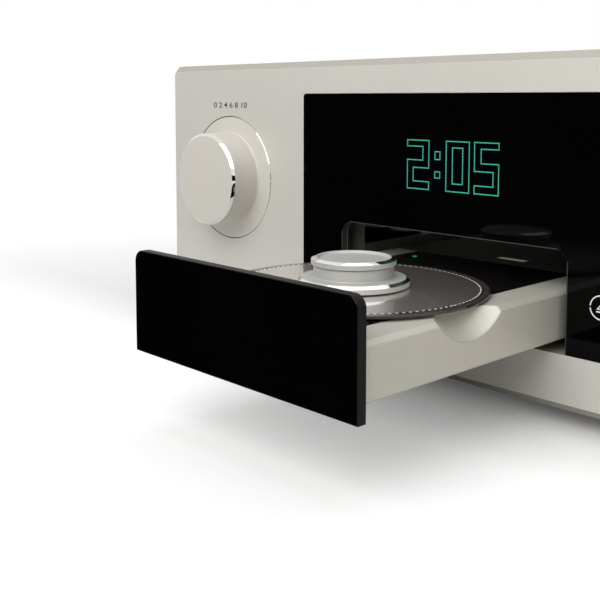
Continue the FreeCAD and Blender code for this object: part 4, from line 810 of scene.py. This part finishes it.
class TRANSPORT_OT_disc(bpy.types.Operator):
    """Lay the disc, with its stacking groove, clear hub and rounded rim"""
    bl_idname = "transport.disc"
    bl_label = "Disc"

    def execute(self, context):
        steps = context.scene.transport.turned.steps + MORE_STEPS
        thick = (DISC_HIGH[2] - DISC_LOW[2]) / MM
        radius = (DISC_HIGH[0] - DISC_LOW[0]) / 2 / MM
        corners = [
            (HOLE_RADIUS, 0, 0.1, 0),
            (radius, 0, 0.25, 0),
            (radius, thick, 0.25, 0),
            (DATA_END + STEP_SLOPE, thick, 0, 0),
            (DATA_END - STEP_SLOPE, thick - DATA_DEPTH, 0, 0),
            (DATA_START, thick - DATA_DEPTH, 0, 0),
            (DATA_START - GROOVE_SLOPE, thick, 0, 0),
            (STACK_OUTER, thick, 0, 0),
            (STACK_OUTER - GROOVE_SLOPE, thick - STACK_DEPTH, 0, 0),
            (STACK_INNER + GROOVE_SLOPE, thick - STACK_DEPTH, 0, 0),
            (STACK_INNER, thick, 0, 0),
            (HOLE_RADIUS, thick, 0.1, 0),
        ]
        centre = (DISC_CENTRE[0], DISC_CENTRE[1], DISC_LOW[2])
        finish = material("mirrored_polycarbonate", mirrored_disc)
        disc = turned("mirrored_disc", corners, [finish], centre, "up", steps)
        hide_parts("disc")
        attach(disc, "disc_body")
        return {"FINISHED"}


# The strokes of a digit and of the colon, between points of a cell one wide and two tall
STROKES = {
    "a": (0, 2, 1, 2), "b": (1, 1, 1, 2), "c": (1, 0, 1, 1), "d": (0, 0, 1, 0), "e": (0, 0, 0, 1),
    "f": (0, 1, 0, 2), "g": (0, 1, 1, 1), "h": (0, 1.45, 0, 1.45), "i": (0, 0.55, 0, 0.55),
}
DIGITS = {
    "0": "abcdef", "1": "bc", "2": "abdeg", "3": "abcdg", "4": "bcfg", "5": "acdfg", "6": "acdefg",
    "7": "abc", "8": "abcdefg", "9": "abcdfg", ":": "hi",
}
DISPLAY_LEFT = -22.8 * MM
DISPLAY_BOTTOM = 102.2 * MM
STROKE_SHARE = 0.15
COLON_SHARE = 0.45
DIGIT_GAP = 0.9
DOT_SHARE = 0.42
DOT_DEPTH = 0.04 * MM
DOT_SIDES = 8


def stroke_distance(points, strokes):
    """The distance from each point to the nearest stroke, each a box-cornered line: the larger of the
    distances across and up from the point to the line's own box."""
    distance = np.full(len(points), np.inf)
    for x0, z0, x1, z1 in strokes:
        low, high = np.minimum((x0, z0), (x1, z1)), np.maximum((x0, z0), (x1, z1))
        gap = np.maximum(np.maximum(low - points, points - high), 0)
        distance = np.minimum(distance, gap.max(1))
    return distance


class TRANSPORT_OT_display(bpy.types.Operator):
    """Light the dots of the reading, as an outline of each digit on a fine grid"""
    bl_idname = "transport.display"
    bl_label = "Display"

    def execute(self, context):
        chosen = context.scene.transport.display
        stroke = chosen.height * STROKE_SHARE
        gap = DIGIT_GAP * stroke
        rise = (chosen.height - stroke) / 2
        shares = [COLON_SHARE if character == ":" else 1.0 for character in chosen.reading]
        advance = (chosen.width + gap) / sum(shares)
        strokes, left = [], 0.0
        for character, share in zip(chosen.reading, shares):
            cell = advance * share
            body, start = cell - stroke - gap, left + stroke / 2
            if character == ":":
                body, start = 0, left + (cell - gap) / 2
            lines = np.array([STROKES[letter] for letter in DIGITS[character]])
            strokes.append(lines * (body, rise, body, rise) + (start, stroke / 2, start, stroke / 2))
            left += cell
        across = np.arange(0, chosen.width + chosen.pitch, chosen.pitch)
        up = np.arange(0, chosen.height + chosen.pitch, chosen.pitch)
        grid = np.stack(np.meshgrid(across, up, indexing="ij"), -1).reshape(-1, 2)
        distance = stroke_distance(grid, np.concatenate(strokes))
        lit = grid[np.abs(distance - stroke / 2) <= chosen.pitch / 2]
        angle = np.linspace(0, 2 * np.pi, DOT_SIDES, endpoint=False)
        ring = chosen.pitch * DOT_SHARE * np.stack([np.cos(angle), np.sin(angle)], 1)
        outlines = upright(lit[:, None] + ring, (DISPLAY_LEFT, GLASS_LOW[1], DISPLAY_BOTTOM))
        made = raised_marks("display_dots", outlines, DOT_DEPTH, material("lit_display_dots", lit_dots))
        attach(made, "chassis")
        return {"FINISHED"}


# The eject mark: a ring with a small gap round an outlined triangle over a bar

MARK_PLACE = (85.1 * MM, GLASS_LOW[1], 58.2 * MM)
MARK_RADIUS, MARK_LINE, MARK_PARTS = 5.2 * MM, 0.55 * MM, 48
MARK_START, MARK_END = math.radians(-174), math.radians(176)
TRIANGLE_HALF, TRIANGLE_LOW, TRIANGLE_HIGH = 2.3 * MM, -0.9 * MM, 1.9 * MM
TRIANGLE_LINE, TRIANGLE_SLANT, TRIANGLE_PEAK = 0.5 * MM, 2, 1.7
BAR_DROP, BAR_THICK = 1.0 * MM, 0.65 * MM

# The plain scale above each knob

SCALE_SPOT = (-164.3 * MM, 143.2 * MM)
SCALE_NUMBERS = "0 2 4 6 8 10"
SCALE_SIZE = 4.6 * MM
SCALE_WIDTH = 32 * MM

PRINT_DEPTH = 0.03 * MM
PRINT_SPREAD = 0.05 * MM


def arc_band(radius, width, start, end, parts):
    """Short bent quads along an arc: part k runs between equal turns, at radius -+ half the width."""
    angle = np.linspace(start, end, parts + 1)
    around = np.stack([np.cos(angle), np.sin(angle)], 1)
    outer, inner = (radius + width / 2) * around, (radius - width / 2) * around
    return np.stack([outer[:-1], outer[1:], inner[1:], inner[:-1]], 1)


def printed_text(name, words, place, size, width, finish):
    """Words as a flat mesh, as wide as told, facing the front and centred on a place."""
    curve = bpy.data.curves.new(name, "FONT")
    curve.body = words
    curve.size = size
    curve.align_x, curve.align_y = "CENTER", "CENTER"
    curve.extrude = PRINT_DEPTH / 2
    curve.offset = PRINT_SPREAD
    words_object = bpy.data.objects.new(name, curve)
    bpy.context.scene.collection.objects.link(words_object)
    bpy.context.view_layer.update()
    mesh = bpy.data.meshes.new_from_object(words_object)
    bpy.data.objects.remove(words_object)
    flat = np.zeros(len(mesh.vertices) * 3)
    mesh.vertices.foreach_get("co", flat)
    flat = flat.reshape(-1, 3)
    flat[:, 0] *= width / np.ptp(flat[:, 0])
    flat = flat - (flat.min(0) + flat.max(0)) / 2
    standing = upright(flat[:, :2], place)
    standing[:, 1] -= PRINT_DEPTH / 2 + flat[:, 2]
    mesh.vertices.foreach_set("co", standing.ravel())
    mesh.materials.clear()
    mesh.materials.append(finish)
    mesh.update()
    piece = bpy.data.objects.new(name, mesh)
    bpy.context.scene.collection.objects.link(piece)
    return piece


class TRANSPORT_OT_prints(bpy.types.Operator):
    """Print the eject mark on the glass and a plain scale of numbers above each knob"""
    bl_idname = "transport.prints"
    bl_label = "Prints"

    def execute(self, context):
        half, low, high, line = TRIANGLE_HALF, TRIANGLE_LOW, TRIANGLE_HIGH, TRIANGLE_LINE
        ring = arc_band(MARK_RADIUS, MARK_LINE, MARK_START, MARK_END, MARK_PARTS)
        outer = np.array([(-half, low), (half, low), (0, high)])
        slant, peak = TRIANGLE_SLANT * line, TRIANGLE_PEAK * line
        inner = np.array([(-half + slant, low + line), (half - slant, low + line), (0, high - peak)])
        sides = np.stack([outer, np.roll(outer, -1, 0), np.roll(inner, -1, 0), inner], 1)
        foot, top = low - BAR_DROP - BAR_THICK / 2, low - BAR_DROP + BAR_THICK / 2
        bar = np.array([[(-half, foot), (half, foot), (half, top), (-half, top)]])
        outlines = upright(np.concatenate([ring, sides, bar]), MARK_PLACE)
        mark = raised_marks("eject_mark", outlines, PRINT_DEPTH, material("white_screen_ink", white_ink))
        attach(mark, "chassis")
        for side, sign in (("left", 1), ("right", -1)):
            place = (sign * SCALE_SPOT[0], FASCIA_FRONT, SCALE_SPOT[1])
            scale = printed_text(f"knob_scale_{side}", SCALE_NUMBERS, place, SCALE_SIZE, SCALE_WIDTH,
                                 material("grey_screen_ink", grey_ink))
            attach(scale, "chassis")
        return {"FINISHED"}


# Studio

CAMERA_PLACE = (0.278775, -0.486463, 0.147243)
CAMERA_YAW = math.radians(46.628)
CAMERA_PITCH = math.radians(-5)
CAMERA_LENS = 55.48
SENSOR_WIDTH = 36
PRINCIPAL_ROW = 179.3
PICTURE = 600
FLOOR_HALF = 6.0
WHITE_CENTRE = (0, -0.16, 0)
WHITE_START, WHITE_END = 0.2, 0.6
LIFT_IN_FRONT, LIFT_BELOW = 0.38, 0.07
LIFT_START, LIFT_END = -0.02, 0.055
LYING_CORNERS = [(-1.8, -1.8, 0.002), (0.1, -1.8, 0.002), (0.1, -0.266, 0.002), (-1.8, -0.266, 0.002)]
STANDING_RADIUS, STANDING_HEIGHT, STANDING_PARTS = 1.9, 0.3, 24
FRONT_LAMP = {"place": (0.4, -1.95, 1.65), "target": (0, -0.12, 0.08), "size": (2.3, 1.7)}
OVERHEAD_LAMP = {"place": (0, 0.1, 1.4), "target": (0, 0, 0.1), "size": (1.4, 1.2), "colour": "#F0F6FF"}


def softbox(name, place, target, size, strength, colour="#FFFFFF"):
    """A soft area lamp that faces a point."""
    lamp = bpy.data.lights.new(name, "AREA")
    lamp.color = linear(colour)[:3]
    lamp.shape = "RECTANGLE"
    lamp.size, lamp.size_y = size
    lamp.energy = strength
    thing = bpy.data.objects.new(name, lamp)
    thing.location = place
    thing.rotation_euler = (Vector(target) - Vector(place)).to_track_quat("-Z", "Y").to_euler()
    bpy.context.scene.collection.objects.link(thing)


def seen_directly(tree):
    """1 for the rays of the camera, of mirrors and of clear things, and 0 for those that light the object."""
    seen = 0.0
    for ray in ("Is Camera Ray", "Is Glossy Ray", "Is Transmission Ray"):
        path = node(tree, "ShaderNodeLightPath", output=ray)
        seen = node(tree, "ShaderNodeMath", {0: seen, 1: path}, operation="MAXIMUM")
    return seen


def floor_surface(tree):
    """Pale paper floor. Near the object it keeps the shadow, lifted to a soft grey in front of it and hardly
    at all below it; further out it is plain white where it is seen."""
    place = node(tree, "ShaderNodeTexCoord", output="Object")
    place = node(tree, "ShaderNodeVectorMath", {0: place, 1: WHITE_CENTRE}, operation="SUBTRACT")
    far = node(tree, "ShaderNodeVectorMath", {0: place}, "Value", operation="LENGTH")
    share = node(tree, "ShaderNodeMapRange", {"Value": far, "From Min": WHITE_START, "From Max": WHITE_END})
    share = node(tree, "ShaderNodeMath", {0: share, 1: seen_directly(tree)}, operation="MULTIPLY")
    paper = grained(tree, "#DBDBDA", "#E0E0DF", 3.0, (0.85, 0.95), 0.0, 0.0, Specular_IOR_Level=0.1)
    camera = node(tree, "ShaderNodeLightPath", output="Is Camera Ray")
    depth = node(tree, "ShaderNodeSeparateXYZ", {0: place}, "Y")
    lift = node(tree, "ShaderNodeMapRange", {
        "Value": depth, "From Min": LIFT_START, "From Max": LIFT_END, "To Min": LIFT_IN_FRONT,
        "To Max": LIFT_BELOW})
    lift = node(tree, "ShaderNodeMath", {0: camera, 1: lift}, operation="MULTIPLY")
    glow = node(tree, "ShaderNodeEmission", {"Color": "#FFFFFF", "Strength": lift})
    lifted = node(tree, "ShaderNodeAddShader", {0: paper, 1: glow})
    white = node(tree, "ShaderNodeEmission", {"Color": "#FFFFFF", "Strength": 1.0})
    return node(tree, "ShaderNodeMixShader", {0: share, 1: lifted, 2: white})


def felt(tree):
    """Black felt of the studio's flags."""
    return grained(tree, "#010101", "#030303", 1.0, (0.9, 1.0), 0.0, 0.0, Specular_IOR_Level=0.0)


def flag(name, vertices, faces):
    """A black flag of the studio. Only mirrors see it: it hides no light and isn't in the picture."""
    piece = new_piece(name, vertices, faces, [material("black_felt", felt)], smooth_angle=None)
    piece.visible_camera = False
    piece.visible_diffuse = False
    piece.visible_shadow = False
    piece.visible_transmission = False
    return piece


class TRANSPORT_OT_studio(bpy.types.Operator):
    """Lay the floor, hang the soft lamps, stand the flags, set the surround and place the camera"""
    bl_idname = "transport.studio"
    bl_label = "Studio"

    def execute(self, context):
        scene = context.scene
        chosen = scene.transport.studio
        corners = FLOOR_HALF * np.array([(-1, -1, 0), (1, -1, 0), (1, 1, 0), (-1, 1, 0)])
        floor = new_piece("studio_floor", corners, [[0, 1, 2, 3]], [material("paper_floor", floor_surface)],
                          smooth_angle=None)
        lying = flag("lying_flag", np.array(LYING_CORNERS), [[0, 1, 2, 3]])
        angle = np.linspace(math.pi, 2 * math.pi, STANDING_PARTS + 1)
        foot = STANDING_RADIUS * np.stack([np.cos(angle), np.sin(angle), 0 * angle], 1)
        column = np.arange(STANDING_PARTS)
        following = column + STANDING_PARTS + 1
        faces = np.stack([column, column + 1, following + 1, following], 1).tolist()
        standing = flag("standing_flag", np.concatenate([foot, foot + (0, 0, STANDING_HEIGHT)]), faces)
        softbox("front_softbox", strength=chosen.key, **FRONT_LAMP)
        softbox("overhead_softbox", strength=chosen.fill, **OVERHEAD_LAMP)
        world = bpy.data.worlds.new("pale_surround")
        world.use_nodes = True
        tree = world.node_tree
        tree.nodes.clear()
        level = node(tree, "ShaderNodeMapRange", {"Value": seen_directly(tree), "To Min": chosen.world})
        back = node(tree, "ShaderNodeBackground", {"Color": "#FFFFFF", "Strength": level})
        node(tree, "ShaderNodeOutputWorld", {"Surface": back})
        scene.world = world
        camera = bpy.data.objects.new("camera", bpy.data.cameras.new("camera"))
        camera.data.lens = CAMERA_LENS
        camera.data.sensor_width = SENSOR_WIDTH
        camera.data.shift_y = (PRINCIPAL_ROW - PICTURE / 2) / PICTURE
        camera.location = CAMERA_PLACE
        camera.rotation_euler = (math.pi / 2 + CAMERA_PITCH, 0, CAMERA_YAW)
        scene.collection.objects.link(camera)
        scene.camera = camera
        scene.view_settings.view_transform = "Standard"
        return {"FINISHED"}


STEPS = ("finishes", "knobs", "puck", "disc", "display", "prints", "studio")


class TRANSPORT_PT_sidebar(bpy.types.Panel):
    """Lists the settings and the steps"""
    bl_label = "Transport"
    bl_idname = "TRANSPORT_PT_sidebar"
    bl_space_type = "VIEW_3D"
    bl_region_type = "UI"
    bl_category = "Transport"

    def draw(self, context):
        chosen = context.scene.transport
        for group in (chosen.turned, chosen.display, chosen.studio):
            box = self.layout.box()
            for name in group.bl_rna.properties.keys():
                if name not in ("rna_type", "name"):
                    box.prop(group, name)
        for step in STEPS:
            self.layout.operator(f"transport.{step}")


CLASSES = (
    TurnedSettings, DisplaySettings, StudioSettings, TransportSettings,
    TRANSPORT_OT_finishes, TRANSPORT_OT_knobs, TRANSPORT_OT_puck, TRANSPORT_OT_disc, TRANSPORT_OT_display,
    TRANSPORT_OT_prints, TRANSPORT_OT_studio, TRANSPORT_PT_sidebar,
)


def register():
    for made in CLASSES:
        bpy.utils.register_class(made)
    bpy.types.Scene.transport = bpy.props.PointerProperty(type=TransportSettings)


def unregister():
    del bpy.types.Scene.transport
    for made in reversed(CLASSES):
        bpy.utils.unregister_class(made)


def main():
    register()
    for step in STEPS:
        getattr(bpy.ops.transport, step)()


if __name__ == "__main__":
    main()
